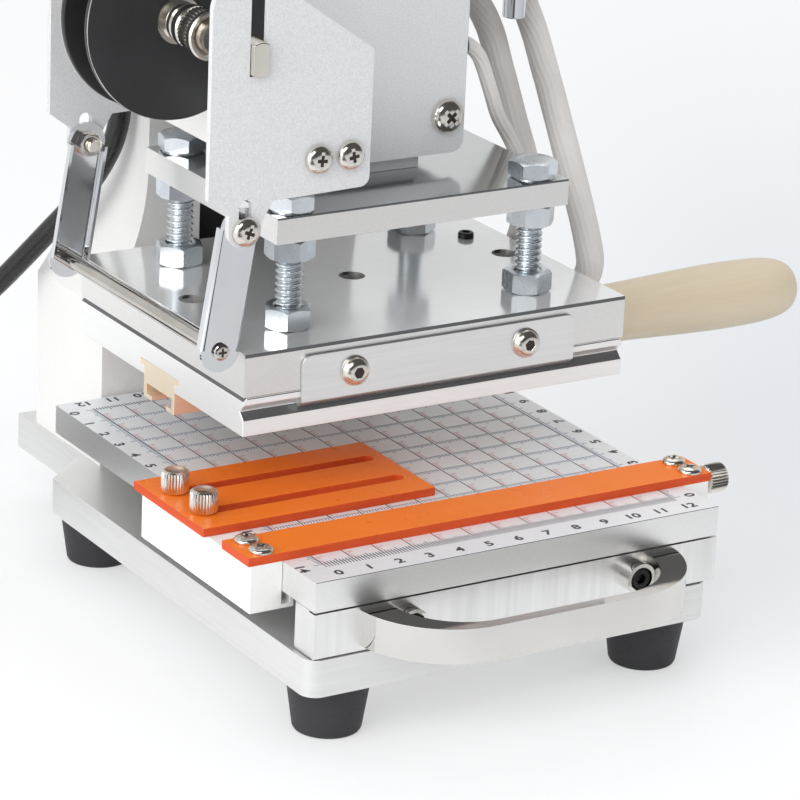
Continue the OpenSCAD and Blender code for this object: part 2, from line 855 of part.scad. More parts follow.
module at_carriage_screws() for (x = [-1, 1], y = [-1, 1])
    translate([x * (carriage_w / 2 - 6), y * (carriage_len / 2 - 12), table_z0 - 4]) children();
module at_apron_screws() for (x = [-1, 1])
    translate([x * (table_x - 12), table_y0 + apron_t / 2, table_z0 - 4]) children();
module at_pull_screws() for (x = [-1, 1])
    translate([x * pull_pitch / 2, table_y0 - pull_floor, pull_z]) rotate([-90, 0, 0]) children();
module pull_screw() {
    rod_z_(-pull_head_h, 0, pull_head_d);
    rod_z_(0, pull_screw_len, m4_d);
}
module pull_bore(deep) {
    rod_z_(-deep, 0, pull_head_d + cap_room);
    rod_z_(-seat, pull_screw_len + cut, m4_d + 2 * seat);
}

module slide_carriage() color("gray") {
    difference() {
        span(-carriage_w / 2, carriage_w / 2, -carriage_len / 2, carriage_len / 2, base_top + carriage_up,
            table_z0);
        sheet_xz(-carriage_len / 2 - cut, carriage_len / 2 + cut) {
            rail_outline(slide_clear);
            translate([-rail_w / 2 - rail_flare - slide_clear, rail_z1 - seat])
                square([rail_w + 2 * rail_flare + 2 * slide_clear, rail_roof + seat]);
        }
        at_carriage_screws() m5_bore(slide_space);
    }
    translate([0, pin_y, 0]) rod_z_(rail_z1 - pin_groove + 0.5, rail_z1 + rail_roof + cut, pin_d);
}

module table_screws() color("black") {
    at_carriage_screws() m5_screw();
    at_apron_screws() m5_screw();
    at_pull_screws() pull_screw();
}

module table_plate() color("lightgray") difference() {
    span(-table_x, table_x, table_y0, table_y1, table_z0, table_z1);
    at_carriage_screws() m5_bore(cut);
    at_apron_screws() m5_bore(cut);
}

module table_apron() color("silver") difference() {
    span(-table_x, table_x, table_y0, table_y0 + apron_t, apron_z0, table_z0);
    at_apron_screws() m5_bore(slide_space);
    at_pull_screws() pull_bore(cut);
    span(-table_x - cut, table_x + cut, table_y0 - cut, table_y0 + shadow_in, table_z0 - shadow_gap,
        table_z0 + cut);
}

// Rounded bow seen from above: half width, reach and bend radius
module bow(w, reach, r) intersection() {
    union() {
        translate([-w + r, -reach]) square([2 * (w - r), reach]);
        translate([-w, -reach + r]) square([2 * w, max(reach - r, seat)]);
        for (s = [-1, 1]) translate([s * (w - r), -reach + r]) circle(r);
    }
    translate([-w, -reach]) square([2 * w, reach]);
}

module table_handle() color("gainsboro") difference() {
    union() {
        translate([0, table_y0, pull_z - pull_h / 2]) linear_extrude(pull_h) difference() {
            bow(pull_len / 2, pull_reach, pull_outer_r);
            translate([0, cut]) bow(pull_len / 2 - pull_foot, pull_reach - pull_t + cut, pull_inner_r);
        }
        both_sides() translate([pull_pitch / 2, table_y0, pull_z]) rod_y_(-pull_boss, 0, pull_boss_d);
    }
    at_pull_screws() pull_bore(pull_boss);
}

// Fence rail section with the hooked lip, outer side at x = -w
module rail_section(w) {
    translate([-w, fence_z0]) square([w, fence_h]);
    translate([-cut, fence_z0]) square([lip_in + cut, lip_t]);
    translate([lip_in - lip_t, fence_z0]) square([lip_t, lip_up]);
}

module at_strip_screws() for (x = [-rail_mid, fblock_mid], s = [-1, 1])
    translate([x, strip_mid + s * strip_pitch / 2, strip_z1]) children();
module thumb_at(i) translate([-rail_mid, slot_y[i], strip_z1]) children();
module knob_at() translate([0, strip_mid, table_z1 - knob_drop]) children();

module fence_rail() color("gainsboro") difference() {
    translate([-rail_x0, 0, 0]) sheet_xz(fence_y0, fence_y1) rail_section(fence_w);
    at_strip_screws() rod_z_(-strip_screw_len - cut, 0, m4_d + 2 * seat);
    for (i = [0, 1]) thumb_at(i) rod_z_(-thumb_len - cut, 0, m4_d + 2 * seat);
}

module fence_block() color("white") difference() {
    translate([rail_x0, 0, 0]) mirror([1, 0, 0]) sheet_xz(fence_y0, fence_y0 + strip_d)
        rail_section(fence_block_w);
    at_strip_screws() rod_z_(-strip_screw_len - cut, 0, m4_d + 2 * seat);
    knob_at() rod_x_(rail_x0 - cut, fblock_x1 + cut, knob_bore_d + 2 * seat);
}

module fence_strip() color("orangered") difference() {
    span(-rail_x1 - strip_over, fblock_x1 + strip_over, fence_y0, fence_y0 + strip_d, table_z1, strip_z1);
    at_strip_screws() rod_z_(-strip_t - cut, cut, m4_d + 2 * seat);
}

module strip_screws() color("silver") at_strip_screws() {
    rod_z_(-strip_screw_len, 0, m4_d);
    rod_z_(0, pan_h, pan_d);
}

module fence_knob() color("silver") knob_at() {
    rod_x_(rail_x0, fblock_x1 + strip_over + knob_stem, knob_bore_d);
    rod_x_(fblock_x1 + strip_over, fblock_x1 + strip_over + knob_stem + seat, knob_stem_d);
    rod_x_(fblock_x1 + strip_over + knob_stem, fblock_x1 + strip_over + knob_stem + knob_len, knob_d);
}

module stop_plate() color("orangered") difference() {
    span(stop_x0, stop_x0 + stop_len, stop_y0, stop_y1, table_z1, strip_z1);
    for (y = slot_y) {
        span(-rail_mid, slot_x1 - slot_w / 2, y - slot_w / 2, y + slot_w / 2, table_z1 - cut,
            strip_z1 + cut);
        for (x = [-rail_mid, slot_x1 - slot_w / 2])
            translate([x, y, 0]) rod_z_(table_z1 - cut, strip_z1 + cut, slot_w);
    }
}

module thumbscrew(i) color("silver") thumb_at(i) {
    rod_z_(-thumb_len, 0, m4_d);
    rod_z_(0, thumb_h, thumb_d);
}
module thumbscrew_rear() thumbscrew(0);
module thumbscrew_front() thumbscrew(1);

module at_bolts() for (x = [-1, 1], y = [-1, 1])
    translate([x * bolt_pitch_x / 2, press_y + y * bolt_pitch_y / 2, 0]) children();
module hexagon(z0, z1, af) translate([0, 0, z0]) cylinder(h = z1 - z0, d = af / cos(30), $fn = 6);
// Button screw: head in front of y = 0, shank behind it
module button_screw() {
    rod_y_(-button_h, 0, button_d);
    rod_y_(0, button_len, m5_d);
}
module button_bore() rod_y_(-cut, button_len + cut, m5_d + 2 * seat);
module at_clip_screws() for (x = [-1, 1], s = [0, 1]) translate([0, press_y, 0]) mirror([0, s, 0])
    translate([x * clip_pitch / 2, -block_d / 2 - clip_out, block_z + clip_screw_up]) children();
module at_ram_screws() for (x = [-1, 1])
    translate([x * ram_screw_x, press_y, plate_z0 + button_h + 0.2]) rotate([90, 0, 0]) children();

// Shallow bed of a clip in the block's face, rounded at its upper corners
module clip_pocket() {
    half = clip_len / 2 + seat;
    translate([-half, block_z - cut]) square([2 * half, clip_z1 - clip_r - block_z + cut]);
    translate([clip_r - half, block_z]) square([2 * half - 2 * clip_r, clip_z1 + seat - block_z]);
    for (x = [-1, 1]) translate([x * (half - clip_r), clip_z1 + seat - clip_r]) circle(clip_r);
}

module heating_block() color("lightgray") difference() {
    span(-block_x, block_x, block_y0, block_y1, block_z, block_z1);
    at_bolts() rod_z_(block_z1 - bolt_in, block_z1 + cut, bolt_d + 2 * seat);
    for (i = [-1:1]) translate([i * hole_pitch, press_y, 0]) rod_z_(block_z1 - hole_deep, block_z1 + cut,
        hole_d);
    for (y = heater_y) {
        translate([0, y, heater_z]) rod_x_(block_x - heater_len - 2, block_x + cut, heater_d + 2 * seat);
        translate([set_x, y, 0]) rod_z_(heater_z, block_z1 + cut, set_d + 2 * seat);
    }
    at_clip_screws() button_bore();
    for (s = [0, 1]) translate([0, press_y, 0]) mirror([0, s, 0])
        sheet_xz(-block_d / 2 - cut, -block_d / 2 + clip_let) clip_pocket();
}

module heater_cartridges() color("gray") for (y = heater_y)
    translate([0, y, heater_z]) rod_x_(block_x - heater_len, block_x, heater_d);

set_proud = 1.8;
module heater_set_screws() color("black") for (y = heater_y)
    translate([set_x, y, 0]) rod_z_(heater_z + heater_d / 2 + 2 * seat, block_z1 + set_proud, set_d);

module clip_section() polygon([[-clip_out, clip_z1], [clip_let, clip_z1], [clip_let, block_z], [0, block_z],
    [0, groove_z1 - 1.5 * die_clear],
    [groove_deep - 1.5 * die_clear, groove_z1 - groove_deep],
    [clip_toe, groove_z1 - 2 * groove_deep + clip_toe + 1.5 * die_clear],
    [-clip_out, groove_z1 - 2 * groove_deep + 2 * clip_toe + clip_out + 1.5 * die_clear]]);

module one_clip() difference() {
    translate([0, block_y0, 0]) sheet_yz(-clip_len / 2, clip_len / 2) clip_section();
    for (s = [0, 1]) mirror([s, 0, 0]) sheet_xz(block_y0 - clip_t, block_y0 + clip_t) difference() {
        translate([clip_len / 2 - clip_r, clip_z1 - clip_r]) square(clip_r + cut);
        translate([clip_len / 2 - clip_r, clip_z1 - clip_r]) circle(clip_r);
    }
    at_clip_screws() button_bore();
}
module clips() color("gainsboro") {
    one_clip();
    translate([0, 2 * press_y, 0]) mirror([0, 1, 0]) one_clip();
}

module press_screws() color("dimgray") {
    at_clip_screws() button_screw();
    at_ram_screws() button_screw();
}

die_edge = 1.2;
module die_plate() color("silver") difference() {
    span(-block_x, block_x, block_y0 + die_clear, block_y1 - die_clear, die_z0, die_z1);
    for (s = [0, 1]) mirror([s, 0, 0]) sheet_xz(block_y0 - cut, block_y1 + cut)
        polygon([[block_x - die_edge - cut, die_z1 + cut], [block_x + cut, die_z1 + cut],
            [block_x + cut, die_z1 - die_edge - cut]]);
    for (s = [0, 1]) translate([0, press_y, 0]) mirror([0, s, 0]) translate([0, -block_d / 2, 0])
        sheet_yz(-block_x - cut, block_x + cut) polygon([[-cut, groove_z1 + cut],
            [groove_deep, groove_z1 - groove_deep], [-cut, groove_z1 - 2 * groove_deep - cut]]);
    translate([0, press_y, 0]) {
        span(-block_x - cut, block_x + cut, -holder_w / 2 - holder_play, holder_w / 2 + holder_play,
            die_z0 - cut, holder_z1 + seat);
        span(-block_x - cut, block_x + cut, -holder_flange_w / 2 - holder_play,
            holder_flange_w / 2 + holder_play,
            holder_z1 - holder_play, holder_z2 + holder_play);
    }
    translate([0, grip_y, grip_z]) rod_x_(block_x - stud_in - cut, block_x + cut, stud_d + 2 * seat);
}

module type_holder() color("goldenrod") translate([0, press_y, 0]) difference() {
    union() {
        span(-block_x, block_x, -holder_w / 2, holder_w / 2, holder_z0, holder_z1 + seat);
        span(-block_x, block_x, -holder_flange_w / 2, holder_flange_w / 2, holder_z1, holder_z2);
    }
    span(-block_x - cut, block_x + cut, -channel_w / 2, channel_w / 2, holder_z0 + channel_t,
        holder_z0 + channel_t + channel_h);
    span(-block_x - cut, block_x + cut, -type_slot_w / 2, type_slot_w / 2, holder_z0 - cut,
        holder_z0 + channel_t + seat);
}

// Turned grip: share of the length, share of the way from the first to the largest diameter
grip_curve = [[0, 0], [0.03, 0.12], [0.12, 0.22], [0.28, 0.42], [0.44, 0.7], [0.58, 0.93], [0.68, 1],
    [0.78, 0.96],
    [0.86, 0.8], [0.92, 0.45], [0.96, -0.1], [0.985, -0.9], [1, -2.4]];
module wooden_handle() color("burlywood") translate([0, grip_y, grip_z]) {
    translate([grip_x0, 0, 0]) rotate([0, 90, 0]) rotate_extrude() polygon(concat([[0, 0]],
        [for (p = grip_curve) [(grip_d0 + p[1] * (grip_d1 - grip_d0)) / 2, p[0] * grip_len]], [[0,
            grip_len]]));
    rod_x_(block_x - stud_in, grip_x0 + stud_out, stud_d);
    rod_x_(block_x, grip_x0 + seat, stud_d + 4);
}

module upper_plate() color("silver") difference() {
    span(-plate_w / 2, plate_w / 2, press_y - plate_d / 2, press_y + plate_d / 2, plate_z0, plate_z1);
    at_bolts() rod_z_(plate_z0 - cut, plate_z1 + cut, bolt_d + 4 * seat);
    at_ram_screws() button_bore();
    at_ram_screws() rod_y_(-button_h - cut, 0, button_d + cap_room);
}

module press_bolts() color("silver") at_bolts() {
    hexagon(plate_z1, plate_z1 + hex_head_h, hex_af);
    rod_z_(block_z1 - bolt_in + 0.5, plate_z1, bolt_d);
}

module press_nuts() color("silver") at_bolts() for (z = [block_z1, plate_z0 - hex_nut_h]) difference() {
    hexagon(z, z + hex_nut_h, hex_af);
    rod_z_(z - cut, z + hex_nut_h + cut, bolt_d + 2 * seat);
}

// Gap of the rack, centred on z = 0, tip plane at y = 0
module rack_gap() {
    half = (tooth_p / 2 + gear_play) / 2;
    t = tan(press_angle);
    top = half + gear_add * gear_m * t;
    low = half - gear_ded * gear_m * t;
    deep = (gear_add + gear_ded) * gear_m;
    sheet_yz(-rack_half, rack_half) polygon([[cut, -top - cut * t], [-deep, -low], [-deep, low], [cut,
        top + cut * t]]);
}

module ram() color("gray") difference() {
    union() {
        span(-ram_w / 2, ram_w / 2, ram_foot_y0, ram_foot_y0 + ram_foot_d, plate_z1, ram_foot_z1);
        span(-ram_w / 2, ram_w / 2, ram_y0, ram_y1, ram_foot_z1 - seat, ram_z1);
    }
    for (i = [rack_first:rack_last]) translate([0, ram_y1, shaft_z + i * tooth_p]) rack_gap();
    at_ram_screws() button_bore();
}

module head_sides() color("whitesmoke") difference() {
    both_sides() span(side_x0, head_x, panel_y1, column_y, side_z0, side_z1);
    translate([0, shaft_y, shaft_z]) rod_x_(-head_x - cut, head_x + cut, bush_d + 2 * seat);
    at_head_bolts() cap_bore(cut);
    at_guide_screws() cap_bore(cap_head_h + cut);
    at_tie_screws() cap_bore(cut);
    at_panel_screws() rod_y_(-cut, pan4_len + cut, m4_d + 2 * seat);
    translate([0, lead_b_y, lead_b_z]) rod_x_(0, head_x + cut, sleeve_d + cut);
    translate([0, lead_a_y, lead_a_z]) rod_x_(0, head_x + cut, sleeve_d + cut);
    translate([0, sensor_hole_y, sensor_hole_z]) rod_x_(0, head_x + cut, sensor_d + cut);
}

module ram_guides() color("gray") difference() {
    for (z = [[side_z0, guide_low_z1], [guide_top_z0, guide_top_z0 + guide_top_h]])
        span(-side_x0, side_x0, panel_y1, guide_y1, z[0], z[1]);
    span(-ram_w / 2 - ram_clear, ram_w / 2 + ram_clear, ram_y0 - ram_clear, ram_y1 + ram_clear,
        side_z0 - cut,
        side_z1 + cut);
    at_guide_screws() cap_bore(cut);
}

module at_panel_screws() for (x = [-1, 1], z = [panel_z0 + panel_screw_up, side_z1 - 9])
    translate([x * panel_screw_x, panel_y, z]) children();

module front_panel() color("gainsboro") difference() {
    sheet_xz(panel_y, panel_y1) {
        translate([-head_x, panel_z0 + panel_r]) square([head_w, head_z1 - panel_z0 - panel_r]);
        translate([-head_x + panel_r, panel_z0]) square([head_w - 2 * panel_r, panel_r + cut]);
        for (s = [-1, 1]) translate([s * (head_x - panel_r), panel_z0 + panel_r]) circle(panel_r);
    }
    at_panel_screws() rod_y_(-cut, panel_t + cut, m4_d + 2 * seat);
    span(-ctrl_w / 2 - seat, ctrl_w / 2 + seat, panel_y - cut, panel_y1 + cut, ctrl_z - ctrl_w / 2 - seat,
        ctrl_z + ctrl_w / 2 + seat);
}

// Pan screw: head in front of y = 0, shank behind it
module pan_screw() {
    rod_y_(-pan4_h, 0, pan4_d);
    rod_y_(0, pan4_len, m4_d);
}
panel_head_d = 10.4;
panel_head_h = 3.5;
module panel_screw() {
    rod_y_(-panel_head_h, 0, panel_head_d);
    rod_y_(0, pan4_len, m4_d);
}
module at_front_and_back(y) for (s = [0, 1])
    translate([0, y, 0]) mirror([0, s, 0]) translate([0, -y, 0]) children();
bracket_mid = bracket_y0 + bracket_span / 2;
module at_bracket_screws() at_front_and_back(bracket_mid) for (x = bracket_screw_x)
    translate([-x, bracket_y0, bracket_screw_z]) children();
module at_pivots() at_front_and_back(bracket_mid) translate([-pivot_x, bracket_y0, pivot_z]) children();

module pan_screws() color("silver") {
    at_panel_screws() panel_screw();
    at_bracket_screws() pan_screw();
    at_pivots() {
        pan_screw();
        translate([0, bracket_t + arm_t + 2 * arm_play, 0]) rotate([-90, 0, 0]) hexagon(0, nut4_h, nut4_af);
    }
}

module head_cover() color("gainsboro") difference() {
    union() {
        span(-head_x, head_x, panel_y1, cover_y0 + cut, side_z1, head_z1);
        span(-cover_x, cover_x, cover_y0, cover_y1, cover_z0, head_z1);
        span(-duct_x - 6, duct_x + 6, column_y1 + cover_gap, column_y1 + cover_gap + sheet_t, foot_z1,
            cover_z0 + cut);
    }
    span(-head_x + sheet_t, head_x - sheet_t, panel_y1 - cut, cover_y0 + 3 * cut, side_z1 - cut,
        head_z1 - sheet_t);
    span(-cover_x + sheet_t, cover_x - sheet_t, cover_y0 + sheet_t, cover_y1 - sheet_t, cover_z0 + sheet_t,
        head_z1 - sheet_t);
    span(-column_x - cover_gap, column_x + cover_gap, column_y - cover_gap, column_y1 + cover_gap,
        cover_z0 - cut, column_z1 + cover_gap);
    translate([gland_x, gland_y, 0]) rod_z_(cover_z0 - cut, cover_z0 + 2 * sheet_t, cord_d + 2 * seat);
    span(cover_x - sheet_t - cut, cover_x + cut, switch_y - switch_d / 2 - seat,
        switch_y + switch_d / 2 + seat,
        switch_z - switch_h / 2 - seat, switch_z + switch_h / 2 + seat);
}

module key_pocket(x, c) span(x - key_w / 2 - c, x + key_w / 2 + c, bezel_y - key_out,
    bezel_y + key_deep + c * 20,
    key_z - key_h / 2 - c, key_z + key_h / 2 + c);
module controller() color("dimgray") difference() {
    union() {
        span(-bezel_w / 2, bezel_w / 2, bezel_y, panel_y, ctrl_z - bezel_w / 2, ctrl_z + bezel_w / 2);
        span(-ctrl_w / 2, ctrl_w / 2, panel_y - seat, panel_y + ctrl_d, ctrl_z - ctrl_w / 2,
            ctrl_z + ctrl_w / 2);
    }
    for (x = [-key_x, key_x]) key_pocket(x, key_play);
}
module key_down() color("gray") key_pocket(-key_x, 0);
module key_up() color("gray") key_pocket(key_x, 0);

module switch_frame() color("black") difference() {
    union() {
        span(cover_x, cover_x + switch_rim, switch_y - switch_d / 2 - switch_rim,
            switch_y + switch_d / 2 + switch_rim, switch_z - switch_h / 2 - switch_rim,
            switch_z + switch_h / 2 + switch_rim);
        span(cover_x - 10, cover_x + seat, switch_y - switch_d / 2, switch_y + switch_d / 2,
            switch_z - switch_h / 2, switch_z + switch_h / 2);
    }
    span(cover_x - 6, cover_x + switch_rim + cut, switch_y - switch_d / 2 + switch_rim,
        switch_y + switch_d / 2 - switch_rim, switch_z - switch_h / 2 + switch_rim,
        switch_z + switch_h / 2 - switch_rim);
}
// Rocker: a slab that tips about an axis along y, cut to clear the frame's ends
rocker_half = switch_h / 2 - switch_rim - 0.9;
module switch_rocker() color("maroon") translate([cover_x, switch_y, switch_z]) rotate([90, 0, 0])
    translate([0, 0, -switch_d / 2 + switch_rim + seat]) linear_extrude(switch_d - 2 * switch_rim - 2 *
        seat)
        rotate(-8) polygon([[-2.6, -rocker_half * 0.8], [1.2, -rocker_half], [0.6, 0], [1.2, rocker_half],
            [-2.6, rocker_half * 0.8]]);

// Involute pinion, tooth centred on the x axis of the outline
function inv_angle(r) = r <= base_r ? 0 : let (q = sqrt(r * r / (base_r * base_r) - 1)) q * 180 / PI -
    atan(q);
tooth_half = (tooth_p / 2 - gear_play) / 2 / pitch_r * 180 / PI + inv_angle(pitch_r);
flank = [for (i = [0:5]) root_r + (tip_r - root_r) * i / 5];
module gear_outline() polygon([for (k = [0:gear_z - 1]) each concat(
    [for (r = flank) let (a = k * 360 / gear_z - tooth_half + inv_angle(r)) r * [cos(a), sin(a)]],
    [for (i = [5:-1:0]) let (r = flank[i], a = k * 360 / gear_z + tooth_half - inv_angle(r))
        r * [cos(a), sin(a)]])]);

module pinion_shaft() color("silver") translate([0, shaft_y, shaft_z]) {
    rod_x_(-shaft_x0, shaft_x1, shaft_d);
    sheet_yz(-pinion_w / 2, pinion_w / 2) rotate(180) gear_outline();
}

module shaft_bushes() color("goldenrod") translate([0, shaft_y, shaft_z]) difference() {
    both_sides() {
        rod_x_(side_x0, head_x + bush_flange, bush_d);
        rod_x_(head_x, head_x + bush_flange, bush_flange_d);
    }
    rod_x_(-shaft_x0 - cut, shaft_x0 + cut, shaft_d + 2 * shaft_clear);
}

module lever_hub() color("silver") translate([0, shaft_y, shaft_z]) difference() {
    rod_x_(hub_x0, hub_x1, hub_d);
    rod_x_(hub_x0 - cut, shaft_x1 + seat, shaft_d + 2 * seat);
    translate([rod_x, 0, 0]) rod_z_(-hub_d, hub_d, rod_d + 2 * seat);
}

module lever_rod() color("gainsboro") translate([rod_x, shaft_y, shaft_z]) rod_z_(-rod_low, rod_high,
    rod_d);

module lever_ball() color("black") translate([rod_x, shaft_y, ball_z]) difference() {
    sphere(d = ball_d);
    rod_z_(-ball_d, seat, rod_d + 2 * seat);
}

// Torsion spring: straight leg, turns, straight leg
spring_pts = concat(
    [[spring_x0, shaft_y + spring_r, shaft_z - 7]],
    [for (i = [0:8 * spring_turns]) [spring_x0 + spring_pitch * i / 8, shaft_y + spring_r * cos(45 * i),
        shaft_z + spring_r * sin(45 * i)]],
    [[spring_x0 + spring_pitch * spring_turns, shaft_y + spring_r, shaft_z + 7]]);
module return_spring() color("silver") tube(spring_pts, wire_d / 2, 6, [1, 0, 0]);

module tie_bar() color("whitesmoke") difference() {
    span(-tie_x1, -tie_x0, bracket_y0 + bracket_t, bracket_y1 - bracket_t, tie_z0, tie_z1);
    at_bracket_screws() rod_y_(-cut, pan4_len + cut, m4_d + 2 * seat);
    at_tie_screws() cap_bore(tie_w);
}

// Bracket outline from its left side round to the tab
bracket_out = 12;
bracket_low = 11.5;
bracket_top = 72.5;
bracket_cut = 6.5;
bracket_step = 50.3;
bracket_corner = 3;
bracket_lap = 2;
bracket_clear = 0.3;
neck_out = 9;
neck_drop = 0.7;
neck_up = 3.5;
tab_up = 6.5;
pivot_slot = 7;
bracket_left = -pivot_x - bracket_out;
front_right = -tie_x0 + bracket_lap;
rear_right = -tie_x0 - bracket_clear;
module bracket_outline(right) difference() {
    union() {
        polygon([[bracket_left, plate_z1 + bracket_low], [bracket_left,
            plate_z1 + bracket_top - bracket_cut],
            [bracket_left + bracket_cut, plate_z1 + bracket_top],
            [-reel_x + reel_flat, plate_z1 + bracket_top], [right, plate_z1 + bracket_step],
            [right, tie_z0 + bracket_corner], [right - bracket_corner, tie_z0],
            [-pivot_x + neck_out, tie_z0 - neck_drop], [-pivot_x + tab_half, plate_z1 + neck_up],
            [-pivot_x + tab_half, pivot_z], [-pivot_x - tab_half, pivot_z],
            [-pivot_x - tab_half, plate_z1 + tab_up]]);
        translate([-pivot_x, pivot_z]) circle(tab_half);
        translate([bracket_left + bracket_cut, plate_z1 + bracket_top - bracket_cut]) circle(bracket_cut);
        translate([right - bracket_corner, tie_z0 + bracket_corner]) circle(bracket_corner);
    }
    translate([-reel_x - reel_flat / 2 - flat_room, reel_z - reel_shaft_d / 2 - seat])
        square([reel_flat + 2 * flat_room, plate_z1 + bracket_top + bracket_cut - reel_z]);
    for (z = [0, pivot_slot]) translate([-pivot_x, pivot_z + z]) circle(m4_d / 2 + seat);
    translate([-pivot_x - m4_d / 2 - seat, pivot_z]) square([m4_d + 2 * seat, pivot_slot]);
}
module foil_brackets() color("gainsboro") difference() {
    union() {
        sheet_xz(bracket_y0, bracket_y0 + bracket_t) bracket_outline(front_right);
        sheet_xz(bracket_y1 - bracket_t, bracket_y1) bracket_outline(rear_right);
    }
    at_bracket_screws() rod_y_(-cut, pan4_len, m4_d + 2 * seat);
}

module reel_shaft() color("khaki") translate([-reel_x, 0, reel_z]) difference() {
    rod_y_(bracket_y0 - 2, bracket_y1 + 2, reel_shaft_d);
    at_front_and_back(bracket_mid) for (s = [0, 1]) mirror([s, 0, 0])
        span(reel_flat / 2, reel_shaft_d, bracket_y0 - 2 - cut, bracket_y0 + bracket_t + 0.1, -reel_shaft_d,
            reel_shaft_d);
}

disc_y1 = disc_y + disc_pitch + disc_t;
module reel_discs() color("black") translate([-reel_x, 0, reel_z])
    for (y = [disc_y, disc_y + disc_pitch]) difference() {
        rod_y_(y, y + disc_t, disc_d);
        rod_y_(y - cut, y + disc_t + cut, reel_hub_d + 2 * seat);
    }

// Steps of a reel nut, from the disc outward
nut_y1 = reel_nut_len * 0.33;
nut_y2 = reel_nut_len * 0.53;
nut_y3 = reel_nut_len * 0.866;
nut_step_a = 2;
nut_step_b = 0.8;
nut_step_c = 1.2;
module reel_hub() color("gainsboro") translate([-reel_x, 0, reel_z]) difference() {
    union() {
        rod_y_(disc_y, disc_y1, reel_hub_d);
        at_front_and_back((disc_y + disc_y1) / 2) {
            rod_y_(disc_y - nut_y1, disc_y + seat, reel_nut_d - nut_step_a);
            rod_y_(disc_y - nut_y2, disc_y - nut_y1 + seat, reel_nut_d - nut_step_b);
            rod_y_(disc_y - nut_y3, disc_y - nut_y2 + seat, reel_nut_d);
            rod_y_(disc_y - reel_nut_len, disc_y - nut_y3 + seat, reel_nut_d + nut_step_c);
        }
    }
    rod_y_(disc_y - reel_nut_len - cut, disc_y1 + reel_nut_len + cut, reel_shaft_d + 2 * reel_clear);
}

// Front arm, hanging from the pivot before it leans
module arm() {
    web = bracket_t + arm_play;
    difference() {
        sheet_xz(web, web + arm_t) {
            translate([-arm_r, -arm_len]) square([arm_w, arm_len]);
            for (z = [0, -arm_len]) translate([0, z]) circle(arm_r);
        }
        rod_y_(0, pan4_len, m4_d + 2 * arm_play);
        translate([0, 0, -arm_len]) rod_y_(0, pan4_len, journal_d + 2 * arm_play);
    }
    for (s = [0, 1]) mirror([s, 0, 0])
        span(arm_r - arm_t, arm_r, web + arm_t - seat, web + arm_t + arm_flange, -arm_len, -flange_top);
}
module guide_arms() color("gainsboro") at_pivots() rotate([0, arm_lean, 0]) arm();

roller_end = bracket_y0 + bracket_t + 2 * arm_play + arm_t;
roller_out = bracket_y0 + bracket_t;
module guide_roller() color("gainsboro") translate([roller_x, 0, roller_z]) at_front_and_back(bracket_mid) {
    rod_y_(roller_end, bracket_mid, roller_d);
    rod_y_(roller_out - seat, roller_end + seat, journal_d);
    rod_y_(roller_out - roller_head_h, roller_out, roller_head_d);
}

module heater_leads() color("tan") {
    tube(lead_front_pts, sleeve_d / 2, 8, [0, 1, 0.3]);
    tube(lead_rear_pts, sleeve_d / 2, 8, [0, 1, 0.3]);
    tube(sensor_pts, sensor_d / 2, 8, [0, 1, 0.3]);
}

module lead_ring(y, z, d) translate([0, y, z]) difference() {
    rod_x_(head_x, head_x + ring_t, d + ring_over);
    rod_x_(head_x - cut, head_x + ring_t + cut, d + ring_room);
}
module grommets() color("black") {
    lead_ring(lead_b_y, lead_b_z, sleeve_d);
    lead_ring(lead_a_y, lead_a_z, sleeve_d);
    lead_ring(sensor_hole_y, sensor_hole_z, sensor_d);
    translate([gland_x, gland_y, 0]) {
        rod_z_(cover_z0 - gland_h, cover_z0, gland_d);
        rod_z_(cover_z0 - seat, cover_z0 + sheet_t, cord_d);
        translate([0, 0, relief_z])
            cylinder(h = cover_z0 - gland_h - relief_z + seat, d1 = cord_d + relief_over,
                d2 = gland_d - relief_less);
    }
}

module power_cord() color("black") tube(cord_pts, cord_d / 2, 10, [0.8, 0.6, 0]);

// Coil: inwards on the lower layer, up, outwards on the upper layer, then a straight tail to the plug
coil_turn = coil_in + coil_climb + coil_out;
function coil_radius(a) = a <= coil_in + coil_climb ? coil_r - coil_pitch * a / 360
    : coil_r - coil_pitch * (coil_in + coil_climb) / 360 + coil_pitch * (a - coil_in - coil_climb) / 360;
function coil_height(a) = coil_z + coil_layer * min(1, max(0, (a - coil_in) / coil_climb));
function coil_at(a) = [coil_c[0] + coil_radius(a) * cos(coil_start + a),
    coil_c[1] + coil_radius(a) * sin(coil_start + a), coil_height(a)];
coil_way = [-sin(coil_start + coil_turn), cos(coil_start + coil_turn), 0];
coil_end = coil_at(coil_turn) + coil_tail * coil_way;
coil_pts = concat([coil_begin], [for (a = [0:360 / coil_steps:coil_turn]) coil_at(a)], [coil_end]);
coil_gap = min([for (i = [0:len(coil_pts) - 2]) for (j = [i + coil_steps / 2:1:len(coil_pts) - 2])
    norm(coil_pts[i] - coil_pts[j]) - cord_d]);
module cord_coil() color("black") tube(coil_pts, cord_d / 2, 6, [0, 0, 1]);
spring_gap = min([for (i = [0:len(spring_pts) - 1]) for (j = [i + 5:1:len(spring_pts) - 1])
    norm(spring_pts[i] - spring_pts[j]) - wire_d]);

module cord_tie() color("black") translate([coil_c[0], coil_c[1], 0]) {
    r0 = coil_radius(3 * 360 - coil_start) - cord_d / 2 - 0.9;
    r1 = coil_radius(360 - coil_start) + cord_d / 2 + 0.3;
    z1 = coil_z + coil_layer + cord_d / 2 + 0.3;
    difference() {
        span(r0 - tie_band, r1 + tie_band, -tie_wide / 2, tie_wide / 2, 0, z1 + tie_band);
        span(r0, r1, -tie_wide / 2 - cut, tie_wide / 2 + cut, tie_band, z1);
    }
}

